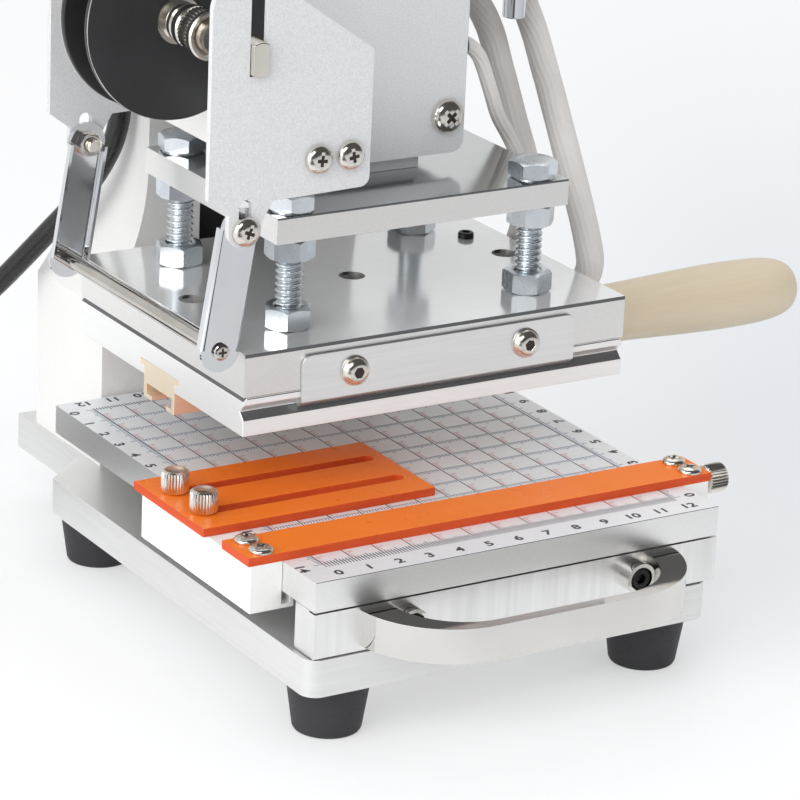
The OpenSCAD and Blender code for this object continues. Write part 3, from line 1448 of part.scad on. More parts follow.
module cord_plug() color("black") translate(coil_end) rotate([0, 0, coil_start + coil_turn + 90]) {
    rod_x_(0, plug_len, plug_d);
    for (s = [-1, 1]) translate([0, s * plug_pin_pitch / 2, 0])
        rod_x_(plug_len - cut, plug_len + plug_pin_len, plug_pin_d);
}

echo(coil_least_gap = coil_gap, spring_least_gap = spring_gap);

base_plate();
rubber_feet();
frame_screws();
column();
column_front_plate();
slide_rail();
slide_carriage();
table_screws();
table_plate();
table_apron();
table_handle();
fence_rail();
fence_strip();
fence_block();
strip_screws();
fence_knob();
stop_plate();
thumbscrew_rear();
thumbscrew_front();
heating_block();
heater_cartridges();
heater_set_screws();
clips();
press_screws();
die_plate();
wooden_handle();
type_holder();
upper_plate();
press_bolts();
press_nuts();
ram();
head_sides();
ram_guides();
front_panel();
pan_screws();
head_cover();
controller();
key_down();
key_up();
switch_frame();
switch_rocker();
pinion_shaft();
shaft_bushes();
lever_hub();
lever_rod();
lever_ball();
return_spring();
tie_bar();
foil_brackets();
reel_shaft();
reel_discs();
reel_hub();
guide_arms();
guide_roller();
heater_leads();
grommets();
power_cord();
cord_coil();
cord_tie();
cord_plug();
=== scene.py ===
"""Looks of a hot foil stamping machine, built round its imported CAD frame.

Shapes are worked out in millimetres, in the CAD frame: z up, the front faces -y, and the origin is the
centre of the four feet on the bench. A mesh is scaled to metres when it is made.
"""
import json
from math import radians

import bmesh
import bpy
import numpy as np
from mathutils import Matrix


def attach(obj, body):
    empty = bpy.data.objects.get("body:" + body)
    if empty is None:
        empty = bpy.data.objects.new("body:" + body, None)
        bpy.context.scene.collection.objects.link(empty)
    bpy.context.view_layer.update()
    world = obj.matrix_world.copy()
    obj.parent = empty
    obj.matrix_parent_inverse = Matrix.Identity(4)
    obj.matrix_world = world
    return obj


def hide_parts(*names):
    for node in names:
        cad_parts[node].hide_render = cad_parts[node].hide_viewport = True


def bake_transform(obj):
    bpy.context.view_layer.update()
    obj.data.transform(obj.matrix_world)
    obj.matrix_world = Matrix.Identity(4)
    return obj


MM = 0.001
TURN = 2 * np.pi

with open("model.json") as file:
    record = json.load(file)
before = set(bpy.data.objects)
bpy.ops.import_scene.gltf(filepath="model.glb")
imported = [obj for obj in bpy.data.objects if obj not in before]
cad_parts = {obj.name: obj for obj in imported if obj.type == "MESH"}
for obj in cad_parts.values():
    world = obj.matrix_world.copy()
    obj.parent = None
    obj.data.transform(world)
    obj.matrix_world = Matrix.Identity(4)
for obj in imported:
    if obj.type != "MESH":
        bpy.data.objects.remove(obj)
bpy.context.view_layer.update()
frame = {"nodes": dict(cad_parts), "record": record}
BODY_OF = {n: b for b, names in frame["record"]["behaviour"]["bodies"].items() for n in names}

# Heights of the CAD's level faces
TABLE_TOP, STRIP_TOP = 52.0, 54.6
DIE_TOP, BLOCK_TOP = 89.85, 103.0
PLATE_LOW, PLATE_TOP = 130.5, 138.5


def link(obj):
    bpy.context.scene.collection.objects.link(obj)
    return obj


# Shader nodes

def node(tree, kind, inputs, **settings):
    """New shader node; inputs maps a socket's name or number to a value or to another node's output."""
    made = tree.nodes.new("ShaderNode" + kind)
    for key, value in settings.items():
        setattr(made, key, value)
    for key, value in inputs.items():
        if isinstance(value, bpy.types.NodeSocket):
            tree.links.new(value, made.inputs[key])
        else:
            made.inputs[key].default_value = value
    return made


def maths(tree, kind, a, b):
    return node(tree, "Math", {0: a, 1: b}, operation=kind).outputs[0]


def span(tree, value, low, high, start=0.0, end=1.0, ease="LINEAR"):
    """Value carried from low..high to start..end and held at both ends."""
    given = {"Value": value, "From Min": low, "From Max": high, "To Min": start, "To Max": end}
    return node(tree, "MapRange", given, interpolation_type=ease).outputs[0]


def dot(tree, vector, way):
    return node(tree, "VectorMath", {0: vector, 1: way}, operation="DOT_PRODUCT").outputs["Value"]


def mixed(tree, mask, a, b):
    """Colour a where the mask is 0, b where it is 1."""
    a, b = (c + (1.0,) if isinstance(c, tuple) else c for c in (a, b))
    return node(tree, "Mix", {"Factor": mask, 6: a, 7: b}, data_type="RGBA").outputs[2]


# Camera, stage and light

CAMERA_AT = (-0.586965, -0.943739, 0.466505)
CAMERA_RIGHT = (0.852397, -0.521183, 0.042277)
CAMERA_DOWN = (-0.142223, -0.308891, -0.940404)
CAMERA_AHEAD = (0.503182, 0.795584, -0.337422)
CAMERA_LENS = 175.53
SENSOR = 36.0
SKY_DARK, SKY_FILL = 0.10, 0.74
# Share of the floor that glows for the camera and mirrors; then a painted reflection, how much the floor in
# front is dimmed in mirrors.
FLOOR_GLOW, FRONT_MIRROR_PAINTED_DIM = 0.45, 0.26


def make_camera():
    """Camera at the photograph's station: columns of its matrix are right, up and backwards."""
    data = bpy.data.cameras.new("camera")
    data.lens = CAMERA_LENS
    data.sensor_width = SENSOR
    data.clip_start = 0.01
    data.clip_end = 50.0
    cam = link(bpy.data.objects.new("camera", data))
    axes = [CAMERA_RIGHT, [-c for c in CAMERA_DOWN], [-c for c in CAMERA_AHEAD], CAMERA_AT]
    cam.matrix_world = Matrix([[a[i] for a in axes] for i in range(3)] + [[0, 0, 0, 1]])
    bpy.context.scene.camera = cam


def make_world():
    """Sky by direction: bright behind and to the left, a dim room to the front and overhead.

    Mirrors and the camera see that sky; soft light comes evenly from all sides."""
    world = bpy.data.worlds.new("studio")
    bpy.context.scene.world = world
    world.use_nodes = True
    tree = world.node_tree
    tree.nodes.clear()
    x, y, z = node(tree, "SeparateXYZ", {0: node(tree, "TexCoord", {}).outputs["Generated"]}).outputs
    lean = node(tree, "Math", {0: z, 1: -0.5, 2: y}, operation="MULTIPLY_ADD").outputs[0]
    level = maths(tree, "MAXIMUM", span(tree, lean, -0.5, 0.15, SKY_DARK, 1.0, "SMOOTHSTEP"),
                  span(tree, x, -0.45, -0.85, ease="SMOOTHSTEP"))
    shine = node(tree, "Background", {"Strength": level})
    fill = node(tree, "Background", {"Color": (0.985, 0.99, 1.0, 1.0), "Strength": SKY_FILL})
    path = node(tree, "LightPath", {}).outputs
    seen = maths(tree, "MAXIMUM", path["Is Camera Ray"], path["Is Glossy Ray"])
    seen = maths(tree, "MAXIMUM", seen, path["Is Transmission Ray"])
    mix = node(tree, "MixShader", {0: seen, 1: fill.outputs[0], 2: shine.outputs[0]})
    node(tree, "OutputWorld", {"Surface": mix.outputs[0]})


def lamp(name, place, aim, size, energy):
    """Square soft lamp at place, in metres, turned to the point aim."""
    data = bpy.data.lights.new(name, "AREA")
    data.shape = "SQUARE"
    data.size = size
    data.energy = energy
    obj = link(bpy.data.objects.new(name, data))
    back = np.array(place) - np.array(aim)
    back = back / np.linalg.norm(back)
    side = np.cross((0.0, 1.0, 0.001), back)
    side = side / np.linalg.norm(side)
    up = np.cross(back, side)
    obj.matrix_world = Matrix([[side[i], up[i], back[i], place[i]] for i in range(3)] + [[0, 0, 0, 1]])


def make_floor():
    """Pale floor with painted shade, cooler and darker to the right and far behind; part of it a white glow
    for the camera and in mirrors.

    Mirrors also see a painted reflection on it: a dark patch in front of the camera, and a dimmer front."""
    size, rows = 4.0, 9
    line = np.linspace(-size, size, rows)
    x, y = np.meshgrid(line, line)
    verts = np.stack([x, y, np.zeros_like(x)], -1).reshape(-1, 3)
    mesh = bpy.data.meshes.new("floor")
    mesh.from_pydata(verts.tolist(), [], quads(rows, rows, False, False).tolist())
    mat = bpy.data.materials.new("floor")
    mat.use_nodes = True
    tree = mat.node_tree
    tree.nodes.clear()
    coord = node(tree, "TexCoord", {}).outputs["Object"]

    def along(x, y, low, high):
        """0 to 1 along a level direction, between two distances in metres."""
        return span(tree, dot(tree, coord, (x, y, 0.0)), low, high, ease="SMOOTHSTEP")

    def times(a, b):
        return maths(tree, "MULTIPLY", a, b)

    # Painted shade: the floor turns cooler and darker to the right and far behind, as if less light reached
    # it there.
    backdrop_painted_shade = times(along(0.853, -0.522, 0.0, 0.17),
                 times(along(0.534, 0.845, -0.08, 0.1), along(-0.534, -0.845, -0.9, -0.2)))
    lit = node(tree, "BsdfDiffuse", {"Color": mixed(tree, backdrop_painted_shade, (0.93, 0.935, 0.945), (0.79, 0.81, 0.84))})
    white = mixed(tree, backdrop_painted_shade, (1.0, 1.0, 1.0), (0.85, 0.875, 0.91))
    glow = node(tree, "Emission", {"Color": white, "Strength": 1.0})
    path = node(tree, "LightPath", {}).outputs
    seen = maths(tree, "MAXIMUM", path["Is Camera Ray"], path["Is Glossy Ray"])
    mix = node(tree, "MixShader", {0: times(seen, FLOOR_GLOW), 1: lit.outputs[0], 2: glow.outputs[0]})
    # Painted reflection: a dark patch and a dimmer front that only mirrors see; the camera sees plain floor
    # there.
    mirror_painted_dark = node(tree, "BsdfDiffuse", {"Color": (0.10, 0.10, 0.11, 1.0)})
    dark = times(along(-0.534, -0.845, 0.29, 0.33),
                 times(along(0.845, -0.534, -0.16, -0.12), along(-0.845, 0.534, -0.16, -0.12)))
    mirror_painted_mask = maths(tree, "MAXIMUM", dark, times(along(0.25, -0.97, 0.13, 0.26), FRONT_MIRROR_PAINTED_DIM))
    dim = node(tree, "MixShader", {0: times(path["Is Glossy Ray"], mirror_painted_mask), 1: mix.outputs[0],
                                   2: mirror_painted_dark.outputs[0]})
    node(tree, "OutputMaterial", {"Surface": dim.outputs[0]})
    mesh.materials.append(mat)
    link(bpy.data.objects.new("floor", mesh))


# Surfaces as arrays

def quads(rows, cols, wrap_rows=False, wrap_cols=True):
    """Four-sided faces between neighbours of a rows by cols grid of points."""
    r = np.arange(rows if wrap_rows else rows - 1)[:, None]
    c = np.arange(cols if wrap_cols else cols - 1)[None, :]
    r1, c1 = (r + 1) % rows, (c + 1) % cols
    corners = np.broadcast_arrays(r * cols + c, r * cols + c1, r1 * cols + c1, r1 * cols + c)
    return np.stack(corners, -1).reshape(-1, 4)


def capped(rows, sides):
    """Faces between rings, with a fan at each end round the last two points."""
    c = np.arange(sides)
    n = (c + 1) % sides
    low, top = rows * sides, (rows - 1) * sides
    faces = quads(rows, sides).tolist()
    faces += np.stack([np.full(sides, low), n, c], -1).tolist()
    return faces + np.stack([np.full(sides, low + 1), top + c, top + n], -1).tolist()


def angles(sides):
    return TURN * np.arange(sides) / sides


def turned(rings, sides=48, hole=False):
    """Rings round z: point = (r cos a, r sin a, h) from pairs of r and h, which may change with the angle a.

    The rings run from the lower end out, up and in; each end closes in a point, or with a hole the last
    ring joins the first."""
    rings = list(rings)
    r, h = (np.stack([np.broadcast_to(np.asarray(p[k], float), sides) for p in rings]) for k in (0, 1))
    a = angles(sides)
    verts = np.stack([r * np.cos(a), r * np.sin(a), h], -1).reshape(-1, 3)
    if hole:
        return verts, quads(len(rings), sides, True).tolist()
    ends = [[0, 0, h[0].mean()], [0, 0, h[-1].mean()]]
    return np.concatenate([verts, ends]), capped(len(rings), sides)


AXES = {
    "x": ((0, 1, 0), (0, 0, 1), (1, 0, 0)), "-x": ((0, -1, 0), (0, 0, 1), (-1, 0, 0)),
    "y": ((0, 0, 1), (1, 0, 0), (0, 1, 0)), "-y": ((1, 0, 0), (0, 0, 1), (0, -1, 0)),
    "z": ((1, 0, 0), (0, 1, 0), (0, 0, 1)), "-z": ((1, 0, 0), (0, -1, 0), (0, 0, -1)),
}


def placed(shape, at, axis="z", spin=0.0):
    """Shape spun about its own z by spin degrees, with z laid along axis and its zero moved to at."""
    c, s = np.cos(radians(spin)), np.sin(radians(spin))
    verts = shape[0] @ np.array([[c, s, 0], [-s, c, 0], [0, 0, 1]]) @ np.array(AXES[axis], float)
    return verts + np.array(at, float), shape[1]


def each(shape, places, spin=0.0):
    """Copies of a shape at pairs of place and axis, each spun further than the one before."""
    return [placed(shape, at, way, spin * i) for i, (at, way) in enumerate(places)]


def joined(shapes):
    """Several shapes as one: their points in a row, their faces counted on."""
    starts = np.cumsum([0] + [len(s[0]) for s in shapes[:-1]])
    faces = [[i + int(n) for i in f] for s, n in zip(shapes, starts) for f in s[1]]
    return np.concatenate([s[0] for s in shapes]), faces


def slabs(boxes):
    """Blocks from rows of x0, x1, y0, y1, z0, z1: the eight corners of each, then its six faces."""
    b = np.asarray(boxes, float)
    pick = np.array([[0, 2, 4], [1, 2, 4], [1, 3, 4], [0, 3, 4], [0, 2, 5], [1, 2, 5], [1, 3, 5], [0, 3, 5]])
    verts = b[:, pick].reshape(-1, 3)
    side = np.array([[3, 2, 1, 0], [4, 5, 6, 7], [0, 1, 5, 4], [1, 2, 6, 5], [2, 3, 7, 6], [3, 0, 4, 7]])
    return verts, (side[None] + 8 * np.arange(len(b))[:, None, None]).reshape(-1, 4).tolist()


def way_along(path):
    """Distance from the start at each point of a path."""
    return np.concatenate([[0], np.cumsum(np.linalg.norm(np.diff(path, axis=0), axis=1))])


def smooth_path(points, step):
    """Catmull-Rom curve through the points, then points along it about step apart."""
    p = np.asarray(points, float)
    p = np.concatenate([2 * p[:1] - p[1:2], p, 2 * p[-1:] - p[-2:-1]])
    t = np.linspace(0, 1, 24, endpoint=False)[None, :, None]
    a, b, c, d = (p[i:len(p) - 3 + i][:, None, :] for i in range(4))
    square, cube = 2 * a - 5 * b + 4 * c - d, 3 * b - a - 3 * c + d
    curve = 0.5 * (2 * b + (c - a) * t + square * t ** 2 + cube * t ** 3)
    curve = np.concatenate([curve.reshape(-1, 3), p[-2:-1]])
    way = way_along(curve)
    at = np.linspace(0, way[-1], max(2, int(way[-1] / step) + 1))
    return np.stack([np.interp(at, way, curve[:, i]) for i in range(3)], -1)


def tube(path, radius, sides, upright):
    """Circle carried along a path: ring i = p + r (cos a u + sin a v), u and v square to the run there.

    upright is one vector, or one for each point, never along the run; radius may be rings by sides."""
    run = np.gradient(path, axis=0)
    run = run / np.linalg.norm(run, axis=1, keepdims=True)
    u = np.cross(run, np.broadcast_to(np.asarray(upright, float), run.shape))
    u = u / np.linalg.norm(u, axis=1, keepdims=True)
    v = np.cross(run, u)
    a = angles(sides)[None, :, None]
    r = np.broadcast_to(np.asarray(radius, float), (len(path), sides))[..., None]
    ring = path[:, None] + r * (np.cos(a) * u[:, None] + np.sin(a) * v[:, None])
    return np.concatenate([ring.reshape(-1, 3), path[:1], path[-1:]]), capped(len(path), sides)


def prism(outline, low, high):
    """Outline in x and y, counterclockwise, carried from one height to the other, with both ends closed."""
    line = np.asarray(outline, float)
    n = len(line)
    verts = np.concatenate([np.column_stack([line, np.full(n, h)]) for h in (low, high)])
    return verts, quads(2, n).tolist() + [list(range(n))[::-1], list(range(n, 2 * n))]


def hexagon_edge(sides, across):
    """Distance from the middle to a hexagon's edge at each angle: half the width over the cosine."""
    return across / 2 / np.cos(angles(sides) % (TURN / 6) - TURN / 12)


def cross_edge(sides, arm, flare):
    """Distance from the middle to the edge of a cross, its arms that long and flare degrees to each side."""
    off = np.abs((angles(sides) + TURN / 8) % (TURN / 4) - TURN / 8)
    return np.minimum(arm / np.cos(off), arm * np.tan(radians(flare)) / np.maximum(np.sin(off), 1e-6))


# Fasteners and turned details; each stands on z = 0 with its shank below

# Radii of plain shanks
M4, M5, M6 = 1.98, 2.48, 2.98


def screw(head, edge, deep, shank, length):
    """Head rings from the seat to the top with a drive recess: edge is the recess outline, cut deep."""
    top = head[-1][1]
    rings = [(shank - 0.4, -length), (shank, -length + 0.4), (shank, 0)] + head
    rings += [(edge + 0.12, top), (edge, top - 0.1), (edge * 0.86, top - deep)]
    return turned(rings + [(edge * 0.3, top - deep - 0.25)], len(edge))


def cross_of(diameter):
    """Cross recess of a pan head: arms a little over half its width."""
    return cross_edge(120, diameter * 0.29, 11)


def pan_screw(diameter, height, length):
    """Domed head with a cross recess: the dome is an arc from the rim to the crown."""
    r = diameter / 2
    arc = np.radians([8, 25, 45, 62, 75])
    dome = [(r * np.cos(t) ** 0.7, height * (0.3 + 0.7 * np.sin(t))) for t in arc]
    head = [(r - 0.15, 0), (r, 0.15), (r, height * 0.3)] + dome
    return screw(head, cross_of(diameter), height * 0.55, M4, length)


def drive_floor(edge, top, deep):
    """Painted shade: a dark filling of a drive recess, from its floor to just under the rim."""
    return turned([(edge * 0.8, top - deep), (edge * 0.985, top - 0.14)], len(edge))


def button_screw(diameter, height, length):
    """Low domed head with a hexagon socket."""
    r = diameter / 2
    arc = np.radians([10, 28, 46, 60])
    dome = [(r * np.cos(t) ** 0.8, height * (0.12 + 0.88 * np.sin(t) / np.sin(radians(60)))) for t in arc]
    head = [(r - 0.1, 0), (r, 0.12 * height)] + dome
    return screw(head, hexagon_edge(72, 3.0), 1.6, M5, length)


def cap_screw(diameter, height, length, shank, socket):
    """Cylinder head with a fine straight knurl, a chamfer and a hexagon socket."""
    sides = 96
    r = diameter / 2
    grip = r - 0.14 * (0.5 + 0.5 * np.cos(32 * angles(sides)))
    head = [(r - 0.3, 0), (grip, 0.3), (grip, height - 0.7), (r - 0.1, height - 0.55), (r - 0.6, height)]
    return screw(head, hexagon_edge(sides, socket), height * 0.5, shank, length)


def hex_rings(sides, across, low, high):
    """Outline of a hexagon with both ends turned to a cone, which leaves an arc on each flat."""
    edge = hexagon_edge(sides, across)
    drop = (edge - 0.485 * across) * np.tan(radians(30))
    return [(0.485 * across, low), (edge, low + drop), (edge, high - drop), (0.485 * across, high)]


def bolt_head(across, high):
    """Hexagon head on a thin washer face."""
    rings = [(across * 0.47, 0.0), (across * 0.47, 0.3)] + hex_rings(48, across, 0.3, high)
    return turned(rings + [(0.3 * across, high + 0.02)], 48)


def bolt_thread(radius, pitch, deep, length):
    """Helical thread below a head: r = radius - deep * ((1 - cos(turn * h / pitch - a)) / 2) ** 1.3."""
    sides, per_turn = 64, 12
    h = np.linspace(-length, 0.0, int(length / pitch * per_turn) + 1)
    wave = 0.5 - 0.5 * np.cos(TURN * (h[:, None] / pitch - np.arange(sides) / sides))
    return turned([(radius - deep * w, z) for w, z in zip(wave ** 1.3, h)], sides)


def hex_nut(across, high, bore):
    """Hexagon nut with a countersunk bore."""
    inside = [(bore + 0.5, high), (bore, high - 0.5), (bore, 0.5), (bore + 0.5, 0)]
    return turned(hex_rings(48, across, 0.0, high) + inside, 48, hole=True)


def knurled(diameter, high, teeth, deep, chamfer=0.45, low=0.0):
    """Straight-knurled drum between two chamfers: r falls from R by deep and back, in straight flanks."""
    sides = teeth * 6
    r, top = diameter / 2, low + high
    flank = np.abs(2 * ((np.arange(sides) / 6) % 1.0) - 1)
    grip = r - deep * np.clip(1.3 * flank - 0.15, 0, 1)
    ends = np.minimum(grip, r - deep * 0.75)
    rings = [(r - chamfer - deep, low), (ends, low + chamfer), (grip, low + chamfer + 0.2),
             (grip, top - chamfer - 0.2), (ends, top - chamfer), (r - chamfer - deep, top)]
    return rings, sides


def knurled_knob(stem, diameter, teeth, low, eye):
    """Knurled drum on the rings of a stem, with a shallow eye in its end."""
    drum, sides = knurled(diameter, 7.0, teeth, 0.42, low=low)
    return turned(stem + drum + [(eye, low + 7.0), (eye - 0.4, low + 6.8)], sides)


def both_ways(rings):
    """Rings from the middle up, with their mirror image below."""
    return [(r, -h) for r, h in reversed(rings[1:])] + rings


# Materials

def new_group(name, inputs, outputs):
    """Empty shader node group with named sockets, its input node and its output node."""
    group = bpy.data.node_groups.new(name, "ShaderNodeTree")
    for label, kind, value in inputs:
        socket = group.interface.new_socket(name=label, in_out="INPUT", socket_type=kind)
        if value is not None:
            socket.default_value = value
    for label, kind in outputs:
        group.interface.new_socket(name=label, in_out="OUTPUT", socket_type=kind)
    return group, group.nodes.new("NodeGroupInput"), group.nodes.new("NodeGroupOutput")


def make_grain():
    """Stretched noise as a mask: brushing, milling marks, wood fibre or speckle by its scale."""
    group, get, put = new_group(
        "grain",
        [("Vector", "NodeSocketVector", None), ("Scale", "NodeSocketVector", (100, 100, 100)),
         ("Detail", "NodeSocketFloat", 3.0), ("Contrast", "NodeSocketFloat", 0.2)],
        [("Mask", "NodeSocketFloat")])
    get = get.outputs
    sides = {0: get["Vector"], 1: get["Scale"]}
    stretch = node(group, "VectorMath", sides, operation="MULTIPLY").outputs[0]
    noise = node(group, "TexNoise", {"Vector": stretch, "Scale": 1.0, "Detail": get["Detail"]})
    low = maths(group, "SUBTRACT", 0.5, get["Contrast"])
    high = maths(group, "ADD", 0.5, get["Contrast"])
    group.links.new(span(group, noise.outputs["Fac"], low, high), put.inputs["Mask"])
    return group


def make_facing(name, way, low=0.93, high=0.97, normal="True Normal"):
    """Mask of the faces that look one way: the normal against that direction, 0 at low and 1 at high."""
    group, _, put = new_group(name, [], [("Mask", "NodeSocketFloat")])
    look = node(group, "NewGeometry", {}).outputs[normal]
    group.links.new(span(group, dot(group, look, way), low, high), put.inputs["Mask"])
    return group


GRAIN = make_grain()
UPWARD = make_facing("upward", (0.0, 0.0, 1.0), 0.75, 0.95, "Normal")
BROW = make_facing("brow", (0.0, -0.7071, 0.7071))
FRONT = make_facing("front", (0.0, -1.0, 0.0))
LEFT_BROW = make_facing("left_brow", (-0.7071, 0.0, 0.7071))
FINISH = {}


class Finish:
    """A material in FINISH: its tree, the inputs of its Principled shader and the object coordinates."""

    def __init__(self, name, metallic=0.0, **plain):
        FINISH[name] = bpy.data.materials.new(name)
        FINISH[name].use_nodes = True
        self.tree = FINISH[name].node_tree
        self.into = self.tree.nodes["Principled BSDF"].inputs
        self.into["Metallic"].default_value = metallic
        for key, value in plain.items():
            self.into[key.replace("_", " ")].default_value = value
        self.coord = node(self.tree, "TexCoord", {}).outputs["Object"]

    def feed(self, label, socket):
        self.tree.links.new(socket, self.into[label])

    def grain(self, scale, detail=3.0, contrast=0.2):
        """Mask of stretched noise; scale is cells per metre, on each axis or on all of them."""
        scale = scale if isinstance(scale, tuple) else (scale,) * 3
        given = {"Vector": self.coord, "Scale": scale, "Detail": detail, "Contrast": contrast}
        return node(self.tree, "Group", given, node_tree=GRAIN).outputs["Mask"]

    def facing(self, group):
        """Mask of the faces that the group picks by their direction."""
        return node(self.tree, "Group", {}, node_tree=group).outputs["Mask"]

    def band(self, low, high):
        """Mask of the points whose height is between two values in millimetres."""
        z = node(self.tree, "SeparateXYZ", {0: self.coord}).outputs["Z"]
        return self.times(self.math("GREATER_THAN", z, low * MM), self.math("LESS_THAN", z, high * MM))

    def value(self, mask, low, high):
        return span(self.tree, mask, 0.0, 1.0, low, high)

    def math(self, kind, a, b):
        return maths(self.tree, kind, a, b)

    def times(self, a, b):
        return self.math("MULTIPLY", a, b)

    def mix(self, mask, a, b):
        return mixed(self.tree, mask, a, b)

    def dress(self, colour, rough, height=None, deep=0.0):
        """Feed the colour, the roughness and a bump that is deep millimetres high."""
        self.feed("Base Color", colour)
        self.feed("Roughness", rough)
        if height:
            given = {"Distance": deep * MM, "Strength": 1.0, "Height": height}
            self.feed("Normal", node(self.tree, "Bump", given).outputs[0])


def milled(name, dark, light, rough, scale=(34, 50, 1000), metal=1.0, seam=None):
    """Brushed or milled aluminium: fine streaks by the noise's scale, soft clouds of tone under them.

    With a seam's height, the faces that slope up and the front edge just under the seam are in shade."""
    f = Finish(name, metal)
    marks = f.grain(scale, 4.0, 0.26)
    cloud = f.grain(22, 2.0, 0.3)
    both = f.math("ADD", f.times(marks, 0.55), f.times(cloud, 0.45))
    tone = f.mix(both, dark, light)
    if seam:
        front = f.times(f.facing(FRONT), f.band(seam - 0.6, seam + 0.1))
        slopes = f.math("MAXIMUM", f.facing(BROW), f.facing(LEFT_BROW))
        tone = f.mix(f.math("MAXIMUM", slopes, front), tone, (0.17, 0.172, 0.176))
    f.dress(tone, f.value(both, rough * 1.2, rough * 0.85), marks, 0.006)


def topped(name, side, top, rough, top_rough, top_metal, painted_reflection_band=None):
    """Aluminium with a finer top: specked matt sides, and a smoother, paler face that looks up.

    The chamfer under the top's front edge, and with a band also the front face just under the top, are
    polished and painted dark: a painted reflection of the room."""
    f = Finish(name, 1.0)
    up = f.facing(UPWARD)
    keep = f.math("SUBTRACT", 1.0, up)
    speck = f.grain(1500, 2.0, 0.25)
    fine = f.grain((60, 900, 900), 3.0, 0.3)
    sides = f.mix(speck, tuple(0.94 * c for c in side), side)
    level = f.mix(fine, tuple(0.96 * c for c in top), top)
    brow = f.facing(BROW)
    if painted_reflection_band:
        brow = f.math("MAXIMUM", brow, f.times(f.facing(FRONT), f.band(*painted_reflection_band)))
    smooth = f.value(fine, top_rough * 1.2, top_rough * 0.85)
    matt = f.value(speck, rough * 1.15, rough * 0.9)
    f.feed("Metallic", f.value(up, 1.0, top_metal))
    # Painted reflection: the chamfer and the band take a dark colour for the room they would mirror.
    f.dress(f.mix(brow, f.mix(up, sides, level), (0.17, 0.175, 0.18)),
            f.math("ADD", f.times(matt, keep), f.times(smooth, up)), f.times(speck, keep), 0.006)


def bright_metal(name, dark, light, rough_low, rough_high, scale=60):
    """Plated or polished metal with faint clouding and handling marks."""
    f = Finish(name, 1.0)
    cloud = f.grain(scale, 4.0, 0.3)
    f.dress(f.mix(cloud, dark, light), f.value(cloud, rough_high, rough_low), f.grain(700, 2.0, 0.35), 0.004)


def powder_coat(name, dark, light, rough, deep=0.02, specks=0.05):
    """Powder coat: fine orange-peel bump, paler and darker specks, soft clouds of tone."""
    f = Finish(name)
    peel = f.grain(1500, 2.0, 0.3)
    cloud = f.grain(18, 2.0, 0.35)
    speck = f.grain(1900, 1.0, 0.2)
    low, high = (f.mix(speck, tuple(c * (1 - specks) for c in tone),
                       tuple(min(1.0, c * (1 + specks)) for c in tone)) for tone in (dark, light))
    f.dress(f.mix(cloud, low, high), f.value(peel, rough * 1.15, rough * 0.85), peel, deep)


def moulded(name, dark, light, rough, size=1200, deep=0.012):
    """Moulded plastic or rubber: fine pebble bump and slight clouding."""
    f = Finish(name)
    pebble = f.grain(size, 2.0, 0.3)
    tone = f.mix(f.grain(40, 3.0, 0.3), dark, light)
    f.dress(tone, f.value(pebble, rough * 1.2, rough * 0.8), pebble, deep)


def orange_sheet(name):
    """Cast orange sheet: satin faces that look up; the other faces redder and darker, with saw marks."""
    f = Finish(name, Specular_IOR_Level=0.22, Coat_Weight=0.03, Coat_Roughness=0.1)
    face = f.mix(f.grain(35, 3.0, 0.3), (0.87, 0.185, 0.012), (0.93, 0.215, 0.018))
    saw = f.grain((60, 60, 1400), 2.0, 0.3)
    edge = f.mix(saw, (0.58, 0.065, 0.014), (0.72, 0.10, 0.022))
    up = f.facing(UPWARD)
    f.dress(f.mix(up, edge, face), f.math("SUBTRACT", f.value(saw, 0.36, 0.46), f.times(up, 0.12)),
            f.grain(160, 2.0, 0.4), 0.008)


def pale_wood(name):
    """Turned pale wood: fibre along x, broad growth bands, waxed."""
    f = Finish(name, Coat_Weight=0.3, Coat_Roughness=0.22)
    fibre = f.grain((14, 420, 420), 4.0, 0.25)
    pore = f.grain((90, 1500, 1500), 2.0, 0.12)
    base = f.mix(f.grain((5, 60, 60), 2.0, 0.22), (0.63, 0.525, 0.365), (0.69, 0.595, 0.435))
    tone = f.mix(f.value(fibre, 0.0, 0.25), base, (0.74, 0.655, 0.51))
    f.dress(f.mix(f.value(pore, 0.0, 0.14), tone, (0.60, 0.46, 0.29)), f.value(fibre, 0.52, 0.40),
            f.math("ADD", fibre, f.times(pore, -0.6)), 0.012)


def ink(name, tone):
    """Printed ink: slightly worn, so the tone shifts towards the metal."""
    f = Finish(name)
    worn = f.grain(500, 3.0, 0.25)
    faded = tuple(0.5 * c + 0.3 for c in tone)
    f.dress(f.mix(f.value(worn, 0.0, 0.25), tone, faded), f.value(worn, 0.45, 0.6))


milled("milled_aluminium", (0.83, 0.83, 0.825), (0.93, 0.93, 0.925), 0.30)
milled("base_aluminium", (0.72, 0.72, 0.715), (0.81, 0.81, 0.805), 0.36, metal=0.7)
milled("die_aluminium", (0.88, 0.88, 0.875), (0.95, 0.95, 0.945), 0.30, metal=0.55, seam=DIE_TOP)
milled("cross_milled", (0.72, 0.72, 0.715), (0.95, 0.95, 0.945), 0.30, (420, 60, 14))
milled("pale_steel", (0.66, 0.68, 0.68), (0.76, 0.78, 0.78), 0.42, metal=0.3)
milled("brass", (0.91, 0.77, 0.57), (0.97, 0.87, 0.71), 0.34, (40, 200, 200), 0.65)
